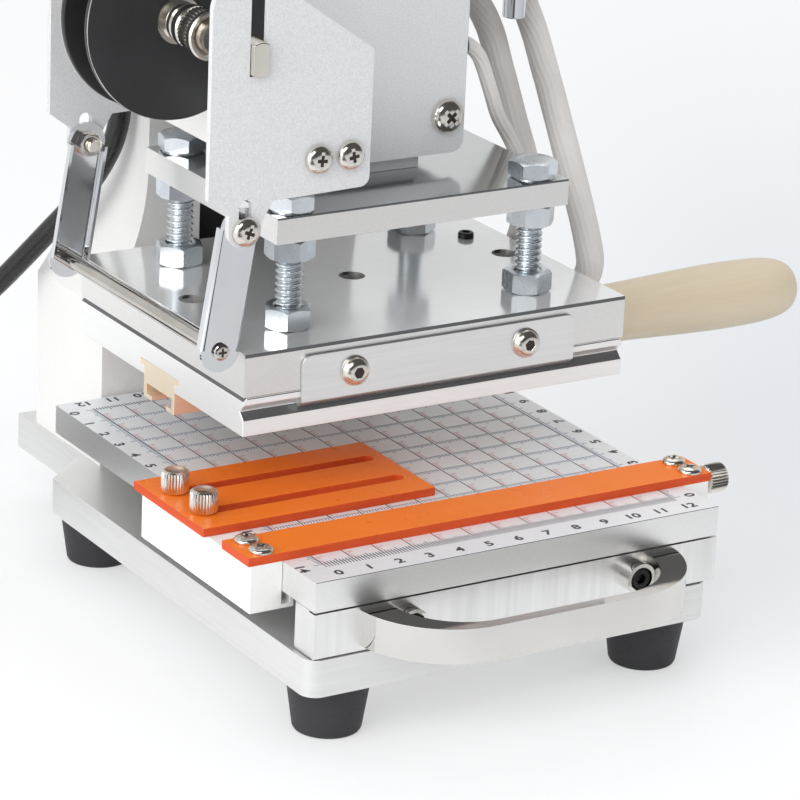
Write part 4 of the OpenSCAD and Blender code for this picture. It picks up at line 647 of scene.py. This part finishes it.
# The last values give the band of painted reflection under the top's front edge.
topped("polished_aluminium", (0.95, 0.945, 0.93), (0.93, 0.935, 0.94), 0.40, 0.12, 0.62,
       (BLOCK_TOP - 1.1, BLOCK_TOP + 0.1))
topped("plate_aluminium", (0.94, 0.935, 0.92), (0.66, 0.675, 0.68), 0.40, 0.13, 1.0,
       (PLATE_TOP - 0.6, PLATE_TOP + 0.1))
topped("printed_aluminium", (0.92, 0.92, 0.915), (0.85, 0.865, 0.885), 0.32, 0.40, 0.22)
powder_coat("white_paint", (0.84, 0.835, 0.82), (0.88, 0.875, 0.86), 0.42, 0.008, 0.02)
powder_coat("grey_paint", (0.63, 0.635, 0.645), (0.675, 0.68, 0.685), 0.5, specks=0.07)
# Painted shade: black for a plate standing in the column's open front, where only its shaded hollow shows.
powder_coat("black_paint", (0.012, 0.012, 0.013), (0.022, 0.022, 0.024), 0.45, 0.008)
bright_metal("steel", (0.50, 0.50, 0.50), (0.64, 0.64, 0.63), 0.22, 0.36, (60, 500, 60))
bright_metal("zinc_steel", (0.60, 0.65, 0.69), (0.76, 0.80, 0.83), 0.20, 0.34, 140)
bright_metal("black_steel", (0.03, 0.03, 0.032), (0.055, 0.055, 0.058), 0.30, 0.42)
bright_metal("chrome", (0.68, 0.70, 0.73), (0.78, 0.79, 0.81), 0.04, 0.09)
bright_metal("dull_chrome", (0.52, 0.49, 0.455), (0.66, 0.63, 0.59), 0.05, 0.12)
bright_metal("warm_chrome", (0.70, 0.69, 0.665), (0.76, 0.75, 0.73), 0.04, 0.10)
bright_metal("nickel", (0.70, 0.66, 0.60), (0.82, 0.79, 0.74), 0.13, 0.24)
# Painted shade: the dark fill laid in drive recesses.
moulded("recess", (0.020, 0.015, 0.012), (0.035, 0.027, 0.022), 0.55)
moulded("black_rubber", (0.018, 0.018, 0.02), (0.032, 0.032, 0.035), 0.62, 1600, 0.02)
moulded("black_plastic", (0.014, 0.014, 0.015), (0.024, 0.024, 0.026), 0.4)
moulded("grey_plastic", (0.09, 0.09, 0.095), (0.13, 0.13, 0.135), 0.5)
moulded("red_plastic", (0.38, 0.012, 0.012), (0.48, 0.02, 0.018), 0.25, 900, 0.006)
moulded("sleeving", (0.63, 0.605, 0.58), (0.72, 0.70, 0.68), 0.8, 2200, 0.03)
moulded("cord_rubber", (0.010, 0.010, 0.011), (0.018, 0.018, 0.019), 0.26, 500, 0.001)
moulded("smoked_window", (0.006, 0.005, 0.005), (0.010, 0.007, 0.007), 0.08, 300, 0.0005)
moulded("segment", (0.055, 0.006, 0.005), (0.075, 0.010, 0.008), 0.3)
orange_sheet("orange_plastic")
pale_wood("wood")
ink("dark_ink", (0.020, 0.022, 0.035))
ink("blue_ink", (0.13, 0.20, 0.31))
ink("red_ink", (0.60, 0.34, 0.36))
ink("line_ink", (0.26, 0.035, 0.045))


# Pieces

def piece(name, shape, finish, body, replaces=(), sharp=35.0):
    """Mesh of a shape or a list of them, smooth but for edges sharper than the angle, riding on a body."""
    verts, faces = joined(shape) if isinstance(shape, list) else shape
    mesh = bpy.data.meshes.new(name)
    mesh.from_pydata((verts * MM).tolist(), [], faces)
    mesh.shade_smooth()
    mesh.set_sharp_from_angle(angle=radians(sharp))
    mesh.materials.append(FINISH[finish])
    obj = link(bpy.data.objects.new(name, mesh))
    if body:
        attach(obj, body)
    if replaces:
        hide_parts(*replaces)
    return obj


def rounded(obj, width, steps):
    """Bevel on the edges that turn by more than 32 degrees."""
    edge = obj.modifiers.new("rounding", "BEVEL")
    edge.width = width * MM
    edge.segments = steps
    edge.limit_method = "ANGLE"
    edge.angle_limit = radians(32)
    edge.use_clamp_overlap = True
    edge.harden_normals = True
    edge.miter_outer = "MITER_ARC"
    return obj


def dressed(node_name, finish, rounding, steps=2):
    """Copy of a CAD node with its flat faces joined and its edges rounded, standing for the node."""
    mesh = frame["nodes"][node_name].data.copy()
    mesh.name = node_name + "_dressed"
    bm = bmesh.new()
    bm.from_mesh(mesh)
    bmesh.ops.remove_doubles(bm, verts=bm.verts, dist=2e-6)
    bmesh.ops.dissolve_limit(bm, angle_limit=radians(0.6), verts=bm.verts, edges=bm.edges)
    bm.to_mesh(mesh)
    bm.free()
    for layer in ("custom_normal", "sharp_face", "sharp_edge"):
        if layer in mesh.attributes:
            mesh.attributes.remove(mesh.attributes[layer])
    mesh.shade_smooth()
    mesh.materials.clear()
    mesh.materials.append(FINISH[finish])
    obj = rounded(link(bpy.data.objects.new(node_name + "_dressed", mesh)), rounding, steps)
    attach(obj, BODY_OF[node_name])
    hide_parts(node_name)
    return obj


make_camera()
make_world()
make_floor()
lamp("key", (-0.8, -1.0, 1.15), (0, 0, 0.1), 0.7, 5.2)
lamp("left", (-1.3, -0.3, 0.6), (0, 0, 0.1), 1.0, 10)
lamp("top", (0.3, 0.6, 1.5), (0, 0, 0.1), 1.2, 4)

# Cords first: the mains lead with its coil and plug, then the sleeved leads of the heaters

CORD_D, CORD_STEP = 6.8, 2.5
GLAND = np.array([-43.0, 87.0])
RELIEF_Z = 158.0
COIL_AT = np.array([-153.5, 147.6])
COIL_R, COIL_PITCH, COIL_LAYER, COIL_Z = 46.0, 7.9, 7.7, 4.6
COIL_START, COIL_IN, COIL_CLIMB, COIL_OUT, COIL_TAIL, COIL_RUN = 80.0, 990.0, 60.0, 870.0, 48.0, 10.0


def coil_points(step):
    """Flat spiral inwards, a climb of one layer, and a spiral outwards on top."""
    a = np.arange(0.0, COIL_IN + COIL_CLIMB + COIL_OUT + 0.1, step)
    turn = COIL_IN + COIL_CLIMB
    r = COIL_R - COIL_PITCH * np.where(a <= turn, a, 2 * turn - a) / 360
    z = COIL_Z + COIL_LAYER * np.clip((a - COIL_IN) / COIL_CLIMB, 0, 1)
    t = np.radians(COIL_START + a)
    return np.stack([COIL_AT[0] + r * np.cos(t), COIL_AT[1] + r * np.sin(t), z], -1)


def mains_route():
    """Down out of the relief, in a long slant to the bench, through the coil and on to the plug."""
    t = np.radians(COIL_START)
    begin = np.array([COIL_AT[0] + COIL_R * np.cos(t) + CORD_D * np.sin(t),
                      COIL_AT[1] + COIL_R * np.sin(t) - CORD_D * np.cos(t), COIL_Z])
    side = np.array([np.sin(t), -np.cos(t), 0.0])
    drop = np.array([[GLAND[0], GLAND[1], RELIEF_Z], [GLAND[0], GLAND[1], RELIEF_Z - 6], [-42.6, 86.2, 145.5],
                     [-42.6, 86, 139], [-43.6, 87.6, 131], [-45.2, 90, 124.5], [-47.4, 93.2, 118],
                     [-51, 99.4, 108], [-56, 107.6, 97], [-65, 122, 78], [-72, 133, 65], [-80, 145, 51],
                     [-89, 157, 38], [-98.5, 168, 26], [-108.5, 178.5, 15],
                     begin + 2 * COIL_RUN * side + [0, -0.8, 2.6], begin + COIL_RUN * side])
    coil = coil_points(15.0)
    t = np.radians(COIL_START + COIL_IN + COIL_CLIMB + COIL_OUT)
    heading = np.array([-np.sin(t), np.cos(t), 0.0])
    end = coil[-1] + COIL_TAIL * heading
    return np.concatenate([drop, [begin], coil, [end]]), end, heading


def plug_shape():
    """Round plug: tapered collar with grip rings, a wide body, a flat face with a shallow rim."""
    x = np.linspace(0, 16, 33)
    collar = 4.6 + 3.4 * (x / 16) ** 1.6 - 0.45 * (np.cos(x * TURN / 3.2) > 0.3)
    body = [(10.6, 18.4), (11.6, 20.0), (12.0, 22.0), (12.0, 32.6), (11.4, 33.6), (10.2, 34.0), (9.4, 33.4)]
    return turned([(3.4, 0.0)] + list(zip(collar, x)) + body, 64)


def headed(shape, at, way, aside=0.0):
    """Shape with its z laid along a level heading and moved aside from the place."""
    side = np.array([-way[1], way[0], 0.0])
    turn = np.stack([side, np.cross(way, side), way])
    return shape[0] @ turn + at + aside * side, shape[1]


route, plug_at, plug_way = mains_route()
cord_path = smooth_path(route, CORD_STEP)
steep = np.abs(np.gradient(cord_path, axis=0)[:, 2:]) / CORD_STEP
cord = piece("mains_cord", tube(cord_path, CORD_D / 2, 16, (1 - steep) * [0, 0, 1] + steep * [0.8, 0.6, 0]),
             "cord_rubber", "frame", replaces=("power_cord", "cord_coil"))
plug = piece("mains_plug", headed(plug_shape(), plug_at, plug_way), "black_plastic", "frame",
             replaces=("cord_plug",))
PLUG_PIN = turned([(2.4, 0), (2.4, 17.4), (2.2, 18.5), (1.4, 19.0)], 24)
pins = piece("plug_pins", [headed(PLUG_PIN, plug_at + 33.2 * plug_way, plug_way, s * 7.5) for s in (-1, 1)],
             "nickel", "frame")
tie = dressed("cord_tie", "black_plastic", 0.25)

SLEEVE_D, SENSOR_D = 8.6, 4.6
LEADS = {
    "heater_lead_front": (SLEEVE_D, [
        (28.5, 66, 206), (42, 66, 206), (56, 63, 202), (68, 56, 192), (75, 48, 180), (76, 38, 169),
        (73.4, 25, 157), (70.6, 13, 146), (69.8, 3, 132), (70.6, -4, 118), (72.2, -6.5, 107), (73, -5.6, 101),
        (71, -4.2, 96.5), (65.55, -4.2, 96.5)]),
    "heater_lead_rear": (SLEEVE_D, [
        (28.5, 64, 188), (42, 64, 188), (55, 61, 184), (63, 56, 177), (66.5, 48, 167), (65, 37, 155),
        (64.5, 28, 142), (67, 24, 129), (70.4, 26, 117), (72.5, 30.5, 107), (73, 33.2, 100.5),
        (71, 33.6, 96.5), (65.55, 33.6, 96.5)]),
    "sensor_lead": (SENSOR_D, [
        (28.5, 7.5, 174), (33, 7.4, 173.5), (37, 6.6, 169), (40, 5, 160), (44, 6, 151), (51, 10, 142.5),
        (58, 14, 133), (64, 17.5, 122), (68, 20.5, 111), (69.6, 23, 102), (69.4, 24.1, 96.5),
        (65.55, 24.1, 96.5)]),
}


def ribbed(path, diameter):
    """Sleeve with strands along it: r = R - deep * (1 - |sin(ribs (a + w / twist) / 2)|) ** 1.5.

    w is the way along the path, and twist the way in which the strands turn by a radian."""
    sides, deep, strand_width, twist = 72, 0.26, 1.7, 55.0
    ribs = round(np.pi * diameter / strand_width)
    strand = np.abs(np.sin((ribs * (angles(sides) + way_along(path)[:, None] / twist)) / 2))
    return tube(path, diameter / 2 - deep * (1 - strand) ** 1.5, sides, (0.0, 1.0, 0.3))


for name, (wide, points) in LEADS.items():
    path = smooth_path(points, 0.55)
    lead = piece(name, ribbed(path, wide), "sleeving", None, replaces=("heater_leads",), sharp=180.0)
    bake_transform(lead)

# CAD solids with rounded edges

for cad_node, finish, rounding in (
        # column_front_plate: painted shade, a black sheet where the column's open front shows its shaded
        # hollow.
        ("column", "white_paint", 0.5), ("column_front_plate", "black_paint", 0.2),
        ("slide_rail", "steel", 0.3), ("slide_carriage", "steel", 0.3), ("fence_rail", "white_paint", 0.3),
        ("fence_block", "white_paint", 0.4), ("fence_strip", "orange_plastic", 0.25),
        ("stop_plate", "orange_plastic", 0.25), ("clips", "milled_aluminium", 0.25),
        ("type_holder", "brass", 0.15), ("head_sides", "milled_aluminium", 0.4),
        ("front_panel", "grey_paint", 0.3), ("head_cover", "grey_paint", 0.4),
        ("controller", "black_plastic", 0.8), ("key_down", "grey_plastic", 0.5),
        ("key_up", "grey_plastic", 0.5), ("switch_frame", "black_plastic", 0.5),
        ("switch_rocker", "red_plastic", 0.4), ("pinion_shaft", "steel", 0.2), ("shaft_bushes", "brass", 0.3),
        ("lever_hub", "chrome", 0.6), ("lever_rod", "chrome", 0.5), ("tie_bar", "white_paint", 0.4),
        ("foil_brackets", "grey_paint", 0.35), ("reel_shaft", "nickel", 0.4),
        ("heater_cartridges", "steel", 0.2), ("rubber_feet", "black_rubber", 2.4),
        ("grommets", "black_rubber", 0.4), ("lever_ball", "black_plastic", 0.5)):
    dressed(cad_node, finish, rounding)
dressed("base_plate", "base_aluminium", 0.4)
dressed("table_apron", "cross_milled", 0.25)
dressed("die_plate", "die_aluminium", 0.25)
dressed("ram", "pale_steel", 0.3)
dressed("ram_guides", "pale_steel", 0.3)
dressed("upper_plate", "plate_aluminium", 0.45, 1)
dressed("heating_block", "polished_aluminium", 0.8, 1)
dressed("table_plate", "printed_aluminium", 0.45, 1)
dressed("table_handle", "warm_chrome", 0.35, 3)

# Fasteners and turned pieces

RAM_Y = 14.7
BOLTS = [(x, RAM_Y + y) for x in (-41.5, 41.5) for y in (-33, 33)]
BOLT_SEATS = [((x, y, PLATE_TOP), "z") for x, y in BOLTS]
NUT8_HIGH = 6.5
NUT8 = hex_nut(13, NUT8_HIGH, 4.02)
piece("press_hex_bolts", each(bolt_head(13, 5.3), BOLT_SEATS, 17), "zinc_steel", "press_head",
      replaces=("press_bolts",))
piece("press_bolt_threads", each(bolt_thread(4.0, 1.95, 0.85, 46), BOLT_SEATS), "zinc_steel", "press_head",
      sharp=180.0)
piece("press_hex_nuts", [placed(NUT8, (x, y, z), "z", 11 * i + 23 * k) for i, (x, y) in enumerate(BOLTS)
                         for k, z in enumerate((BLOCK_TOP, PLATE_LOW - NUT8_HIGH))],
      "zinc_steel", "press_head", replaces=("press_nuts",))


def pan_set(name, rows, body, replaces, extra=()):
    """Pan screws with painted shade in their recesses; a row holds diameter, height, length, place, axis and
    spin.
    """
    crown = 0.976
    piece(name, [placed(pan_screw(d, h, long), at, way, spin) for d, h, long, at, way, spin in rows]
          + list(extra), "nickel", body, replaces=replaces)
    piece(name + "_recess", [placed(drive_floor(cross_of(d), crown * h, 0.5 * h), at, way, spin)
                             for d, h, _, at, way, spin in rows], "recess", body)


RAIL_X, STRIP_Y = -74.2, -59.25
STRIP_SCREWS = [(x, STRIP_Y + s * 4.2, STRIP_TOP) for x in (RAIL_X, 73.75) for s in (-1, 1)]
pan_set("strip_pan_screws", [(7.2, 1.8, 9, at, "z", 40 * i + 12) for i, at in enumerate(STRIP_SCREWS)],
        "fence", ("strip_screws",))

PIVOT_X, PIVOT_Z = -66.8, 140.0
BRACKET_FACES = ((-36, "-y"), (64, "y"))
PANEL_SCREWS = [((x, 0.5, z), "-y") for x in (-21.9, 21.9) for z in (154.5, 222.0)]
BRACKET_SCREWS = [((x, y, 158.5), way) for x in (-33.5, -43.9) for y, way in BRACKET_FACES]
PIVOTS = [((PIVOT_X, y, PIVOT_Z), way) for y, way in BRACKET_FACES]
PIVOT_NUTS = [((PIVOT_X, -33.0, PIVOT_Z), "y"), ((PIVOT_X, 61.0, PIVOT_Z), "-y")]
pan_set("pan_head_screws",
        [(10.4, 3.5, 8, at, way, 37 * i + 60) for i, (at, way) in enumerate(PANEL_SCREWS)]
        + [(8.6, 3.0, 8, at, way, 37 * i + 10) for i, (at, way) in enumerate(BRACKET_SCREWS + PIVOTS)],
        "frame", ("pan_screws",), each(hex_nut(7, 3, 2.02), PIVOT_NUTS))

PRESS_SCREWS = [((x, y, 93.6), way) for x in (-29.5, 29.5) for y, way in ((-37.2, "-y"), (66.6, "y"))]
PRESS_SCREWS += [((x, RAM_Y, PLATE_LOW + 3.0), "-z") for x in (-9, 9)]
# Painted shade in the socket recesses of the button screws.
BUTTON_RECESS_SHADE = drive_floor(hexagon_edge(72, 3.0), 2.8, 1.5)
piece("press_button_screws", each(button_screw(9, 2.8, 10), PRESS_SCREWS, 23), "nickel", "press_head",
      replaces=("press_screws",))
piece("press_button_recess", each(BUTTON_RECESS_SHADE, PRESS_SCREWS, 23), "recess", "press_head")

SET_SCREW = screw([(2.5, 0.0), (2.5, 1.4), (2.15, 1.8)], hexagon_edge(48, 2.5), 1.2, M5, 2.4)
piece("heater_grub_screws", [placed(SET_SCREW, (52.8, y, BLOCK_TOP), "z", 20) for y in (-4.2, 33.6)],
      "black_steel", "press_head", replaces=("heater_set_screws",))

FRAME_SCREWS = (
    [((x, y, 9), "-z") for x in (-55, 55) for y in (-71, 71)]
    + [((0, y, 30.9), "z") for y in (-60, 60)]
    + [((x, y, 23.5), "-z") for x in (-40, 40) for y in (86, 111)]
    + [((x, 80, z), "y") for x in (-23.5, 23.5) for z in (166, 218)]
    + [((s * 22.5, 33, z), way) for s, way in ((1, "x"), (-1, "-x")) for z in (157, 211)]
    + [((-34, y, 155.8), "-x") for y in (14.5, 46.5)])
piece("frame_cap_screws", each(cap_screw(10, 6, 12, M6, 5), FRAME_SCREWS, 19), "black_steel", "frame",
      replaces=("frame_screws",))

TABLE_SCREWS = [((x, y, 38.8), "-z") for x in (-27, 27) for y in (-48, 48)]
TABLE_SCREWS += [((x, -80.1, 38.8), "-z") for x in (-57, 57)]
HANDLE_SCREWS = [placed(cap_screw(7, 3.8, 9, M4, 3), (x, -86.4, 35.8), "-y", 8) for x in (-39, 39)]
piece("table_cap_screws", each(cap_screw(8.5, 5, 9, M5, 4), TABLE_SCREWS, 19) + HANDLE_SCREWS, "black_steel",
      "table", replaces=("table_screws",))

THUMBSCREW = knurled_knob([(1.6, -11.0), (M4, -10.6), (M4, 0.0)], 8.3, 28, 0.0, 2.6)
for name, y in (("thumbscrew_rear", -12.5), ("thumbscrew_front", -30.0)):
    piece(name + "_knurled", placed(THUMBSCREW, (RAIL_X, y, STRIP_TOP), "z", 5), "nickel", name,
          replaces=(name,))
LOCK_STEM = [(1.3, -10.1), (1.48, -9.9), (1.48, 0.0), (2.7, 0.0), (2.7, 3.0)]
piece("fence_knob_knurled", placed(knurled_knob(LOCK_STEM, 9.0, 30, 3.0, 3.0), (79.2, STRIP_Y, 49.2), "x"),
      "nickel", "fence_knob", replaces=("fence_knob",))

GRIP_X, GRIP_Y, GRIP_Z = 65.5, -0.6, 83.95


def grip_shape():
    """Turned grip: smooth curve through the drawn radii, closed by a rounded end."""
    share = np.array([0, 0.03, 0.12, 0.28, 0.44, 0.58, 0.68, 0.78, 0.86, 0.92, 0.96, 0.985, 1])
    full = np.array([0, 0.12, 0.22, 0.42, 0.7, 0.93, 1, 0.96, 0.8, 0.45, -0.1, -0.9, -2.4])
    long = 87.4
    pts = smooth_path(np.stack([share * long, (17 + full * 4.2) / 2, 0 * share], -1), 1.2)
    curve = [(r, max(h, 0.25)) for h, r, _ in pts]
    return turned([(4.0, 0), (7.9, 0)] + curve + [(2.0, long)], 72)


piece("wooden_grip", placed(grip_shape(), (GRIP_X + 2.0, GRIP_Y, GRIP_Z), "x"), "wood", "die",
      replaces=("wooden_handle",))
STUD = turned([(2.2, -14), (M5, -13.7), (M5, 0), (4.4, 0), (4.5, 0.2), (4.5, 1.8), (4.2, 2.0)], 48)
piece("grip_stud", placed(STUD, (GRIP_X, GRIP_Y, GRIP_Z), "x"), "steel", "die")

REEL_X, REEL_Z = -64.1, 189.6
REEL_DISC = turned([(7.05, 0.0), (28.9, 0.0), (29.3, 0.1), (29.5, 0.4), (29.5, 1.8), (29.3, 2.1), (28.9, 2.2),
                    (7.05, 2.2)], 128, hole=True)
# Painted highlight: a thin nickel ring on each disc's outer chamfer stands for the light caught by the black
# edge.
REEL_RIM_HIGHLIGHT = turned([(29.35, 0.0), (29.5, 0.05), (29.5, 0.3), (29.35, 0.35)], 128, hole=True)
piece("reel_discs_turned", each(REEL_DISC, [((REEL_X, y, REEL_Z), "y") for y in (10.0, 24.5)]),
      "black_plastic", "reel", replaces=("reel_discs",))
piece("reel_rim_highlights", each(REEL_RIM_HIGHLIGHT, [((REEL_X, y, REEL_Z), "y") for y in (9.98, 26.37)]), "nickel", "reel")


def reel_core():
    """Hub between two knurled nuts, each with a ringed sleeve and a flat flange, bored for the shaft."""
    drum, sides = knurled(13.4, 6.6, 36, 0.5, 0.3, 18.7)
    bore, half = 5.06, 8.35
    sleeve = [(5.9, 0.0), (5.9, 1.0), (5.2, 1.4), (5.2, 2.2), (5.7, 2.6), (5.7, 4.2), (5.2, 4.6), (5.2, 5.6),
              (5.7, 6.2), (6.3, 6.6), (6.3, 9.0), (5.8, 9.6), (5.7, 10.2)]
    flange = [(6.9, 25.3), (7.3, 25.6), (7.3, 27.3), (6.8, 27.85), (bore + 0.9, 27.85)]
    upper = [(7.0, 0.0), (7.0, half)] + [(r, half + h) for r, h in sleeve] + drum + flange
    return turned(both_ways(upper) + [(bore, 27.0), (bore, -27.0)], sides, hole=True)


piece("reel_core", placed(reel_core(), (REEL_X, 18.35, REEL_Z), "y"), "nickel", "reel",
      replaces=("reel_hub",))

ROLLER_X, ROLLER_Y, ROLLER_Z, ROLLER_HALF = -72.4316, 14.0, 104.4432, 50.0


def roller_shape():
    """Bright roller with journals, each end closed by a domed screw head with a cross recess."""
    edge = cross_edge(96, 1.35, 15)
    upper = [(2.5, 3.1), (2.3, 3.0), (1.5, 3.0), (1.5, 2.0), (2.5, 2.0), (2.5, 1.2), (2.1, 0.75),
             (1.6, 0.6), (edge, 0.62), (edge * 0.8, 1.3), (edge * 0.3, 1.4)]
    return turned(both_ways([(2.5, 0.0)] + [(r, ROLLER_HALF - h) for r, h in upper]), 96)


piece("guide_roller_turned", placed(roller_shape(), (ROLLER_X, ROLLER_Y, ROLLER_Z), "y"), "dull_chrome",
      "guide_roller", replaces=("guide_roller",))
ROLLER_ENDS = [((ROLLER_X, ROLLER_Y + s * (ROLLER_HALF - 0.62), ROLLER_Z), way)
               for s, way in ((-1, "-y"), (1, "y"))]
# Painted shade in the cross recesses at the roller's ends.
piece("guide_roller_recess", each(drive_floor(cross_edge(96, 1.35, 17), 0.0, 0.7), ROLLER_ENDS), "recess",
      "guide_roller")


def arm_shape():
    """Pressed arm: a U section with round bends carried down the arm, and a round tongue at each end."""
    half, deep, sheet, bend, low, high = 6.2, 3.1, 0.9, 1.5, -36.0, -0.5
    t = np.radians(np.linspace(0, 90, 7))
    t = np.column_stack([np.cos(t), np.sin(t)])
    outer = np.concatenate([[[-half, deep]], [bend - half, bend] - bend * t])
    inner = np.concatenate([[[sheet - half, deep]], [bend - half, bend] - (bend - sheet) * t])
    flip = [-1.0, 1.0]
    channel = prism(np.concatenate([outer, outer[::-1] * flip, inner * flip, inner[::-1]]), low, high)
    a = np.radians(np.linspace(0, 180, 25))
    arc = half * np.column_stack([np.cos(a), np.sin(a)])
    head = prism(np.concatenate([[[half, high]], arc, [[-half, high]]]), -sheet, 0.0)
    foot = prism(-arc + [0.0, low], -sheet, 0.0)
    return joined([channel] + each(head, [((0, 0, 0), "-y")]) + each(foot, [((0, 0, 0), "-y")]))


def leaned(shape, degrees, at):
    """Shape turned about y, so that its lower end goes to -x, and moved to its pivot."""
    c, s = np.cos(radians(degrees)), np.sin(radians(degrees))
    return shape[0] @ np.array([[c, 0, -s], [0, 1, 0], [s, 0, c]]) + np.array(at, float), shape[1]


def opposite(shape, y):
    """Mirror image of a shape across a plane of constant y."""
    return shape[0] * [1, -1, 1] + [0, 2 * y, 0], [f[::-1] for f in shape[1]]


front_arm = leaned(arm_shape(), 9.0, (PIVOT_X, -33.95, PIVOT_Z))
piece("guide_arms_pressed", [front_arm, opposite(front_arm, ROLLER_Y)], "chrome", "guide_arms",
      replaces=("guide_arms",))


def spring_path():
    """Helix round the lever shaft with a straight leg at each end."""
    t = np.linspace(0, 3 * TURN, 181)
    x, y, z, r, pitch = 32.0, 28.85, 194.0, 8.2, 2.7
    helix = np.stack([x + pitch * t / TURN, y + r * np.cos(t), z + r * np.sin(t)], -1)
    leg = np.linspace(7, 1, 7)[:, None] * [[0, 0, 1]]
    return np.concatenate([helix[:1] - leg, helix, helix[-1:] + leg[::-1]])


piece("torsion_spring", tube(spring_path(), 1.0, 14, (1.0, 0.0, 0.0)), "steel", "frame",
      replaces=("return_spring",))

# Printed ruler on the table: thin layers of ink, 10 mm squares with millimetre ticks

INK = 0.03
GX0, GX1, GY0, GY1 = -60.0, 60.0, -74.0, 66.0
FRONT_Y, RED_TO = GY0 - 2.2, -60.0
THIN, TICK, BLUE_TICK = 0.17, 0.16, 0.15


def bars(x0, x1, y0, y1):
    """Rows of thin ink blocks from their edges."""
    sides = (x0, x1, y0, y1, TABLE_TOP - 0.01, TABLE_TOP + INK)
    return np.stack(np.broadcast_arrays(*(np.asarray(v, float).ravel() for v in sides)), -1)


def ticks(marks, short, middle, long):
    """Lengths of millimetre marks: longer at every fifth, longest at every tenth."""
    return np.where(marks % 10 == 0, long, np.where(marks % 5 == 0, middle, short))


def printed(name, shape, finish):
    piece(name, shape, finish, "table", sharp=20)


cols = np.arange(GX0, GX1 + 1, 10)
lines = np.arange(GY0, GY1 + 1, 10)
nx, ny = np.arange(121), np.arange(141)
comb = ticks(nx, 3.6, 4.4, 5.2)
long_x, long_y = (ticks(n, 1.7, 2.7, 3.4) for n in (nx, ny))
edge_x, edge_y = GX0 + nx, GY0 + ny
dark = [bars(cols - THIN, cols + THIN, RED_TO, GY1),
        bars(edge_x - TICK, edge_x + TICK, FRONT_Y, FRONT_Y + comb),
        bars(edge_x - TICK, edge_x + TICK, GY1 + 1.0 - long_x * 1.05, GY1 + 1.0)]
printed("ruler_dark", slabs(np.concatenate(dark)), "dark_ink")
blue = [bars(GX0, GX1, lines - 0.1, lines + 0.1)]
blue += [bars(edge_x - BLUE_TICK, edge_x + BLUE_TICK, y - long_x * 0.8, y) for y in lines[1:-1]]
blue += [bars(GX0 - long_y * 0.9, GX0, edge_y - BLUE_TICK, edge_y + BLUE_TICK)]
blue += [bars(GX1, GX1 + long_y * 0.9, edge_y - BLUE_TICK, edge_y + BLUE_TICK)]
printed("ruler_blue", slabs(np.concatenate(blue)), "blue_ink")
half = ny[(ny % 10 >= 1) & (ny % 10 <= 5)]
long_half = np.where(half % 5 == 0, 2.6, 1.6)
red = [bars(x, x + long_half, GY0 + half - TICK, GY0 + half + TICK) for x in cols[:-1]]
printed("ruler_red", slabs(np.concatenate(red)), "red_ink")
printed("ruler_lines", slabs(bars(cols - THIN, cols + THIN, FRONT_Y + 5.2, RED_TO)), "line_ink")


def numerals():
    """Ruler numbers: text made a mesh, then laid on the table, each row read from its own side.

    Each number is laid five times, a little apart, which makes it bolder."""
    parts = []
    shifts = ((0, 0), (0.13, 0), (-0.13, 0), (0, 0.12), (0, -0.12))
    rows = [(str(i), GX0 + 10 * i + 1.0, GY0 - 7.2, 0) for i in range(13)]
    rows += [(str(i), GX1 - 10 * i - 0.7, GY1 + 6.0, 180) for i in range(13)]
    rows += [(str(i), GX0 - 7.4, GY1 - 10 * i - 0.6, -90) for i in range(15)]
    rows += [(str(i), GX1 + 6.6, GY0 + 10 * i, 90) for i in range(15)]
    for word, x, y, turn in rows:
        data = bpy.data.curves.new("numeral", "FONT")
        data.body = word
        data.size = 4.6
        data.align_x = "CENTER"
        data.align_y = "CENTER"
        data.extrude = 0.02
        data.offset = 0.04
        obj = link(bpy.data.objects.new("numeral", data))
        mesh = bpy.data.meshes.new_from_object(obj.evaluated_get(bpy.context.evaluated_depsgraph_get()))
        co = np.zeros(len(mesh.vertices) * 3)
        mesh.vertices.foreach_get("co", co)
        shape = (co.reshape(-1, 3) * [1.12, 0.95, 1.0], [list(p.vertices) for p in mesh.polygons])
        parts += [placed(shape, (x + dx, y + dy, TABLE_TOP + 0.012 + 0.002 * i), "z", turn)
                  for i, (dx, dy) in enumerate(shifts)]
        bpy.data.meshes.remove(mesh)
        bpy.data.objects.remove(obj)
        bpy.data.curves.remove(data)
    return parts


printed("ruler_numbers", numerals(), "dark_ink")

# Controller face: a smoked window with two rows of dark segments

BEZEL_Y, CTRL_Z = -7.5, 257.5
WINDOW = [-20.5, 20.5, BEZEL_Y - 0.35, BEZEL_Y + 0.2, CTRL_Z - 9.0, CTRL_Z + 20.5]
piece("controller_window", slabs([WINDOW]), "smoked_window", "frame")


def digit_bars(x, z, wide, high, thick):
    """Seven bars of one digit, in the plane of the window."""
    x0, x1, z0, z1 = x - wide / 2, x + wide / 2, z - high / 2, z + high / 2
    g = thick * 0.6
    across = [(x0 + g, x1 - g, h - thick / 2, h + thick / 2) for h in (z0, z, z1)]
    up = [(e - thick / 2, e + thick / 2, a + g, b - g) for e in (x0, x1) for a, b in ((z0, z), (z, z1))]
    return [[a, b, BEZEL_Y - 0.42, BEZEL_Y - 0.2, c, d] for a, b, c, d in across + up]


segments = [bar for row, high in ((CTRL_Z + 12.2, 9.0), (CTRL_Z - 1.6, 7.0)) for i in range(4)
            for bar in digit_bars(-12.6 + 8.4 * i, row, high * 0.52, high, 0.95)]
piece("controller_segments", slabs(segments), "segment", "frame")

bpy.context.scene.view_settings.view_transform = "Standard"
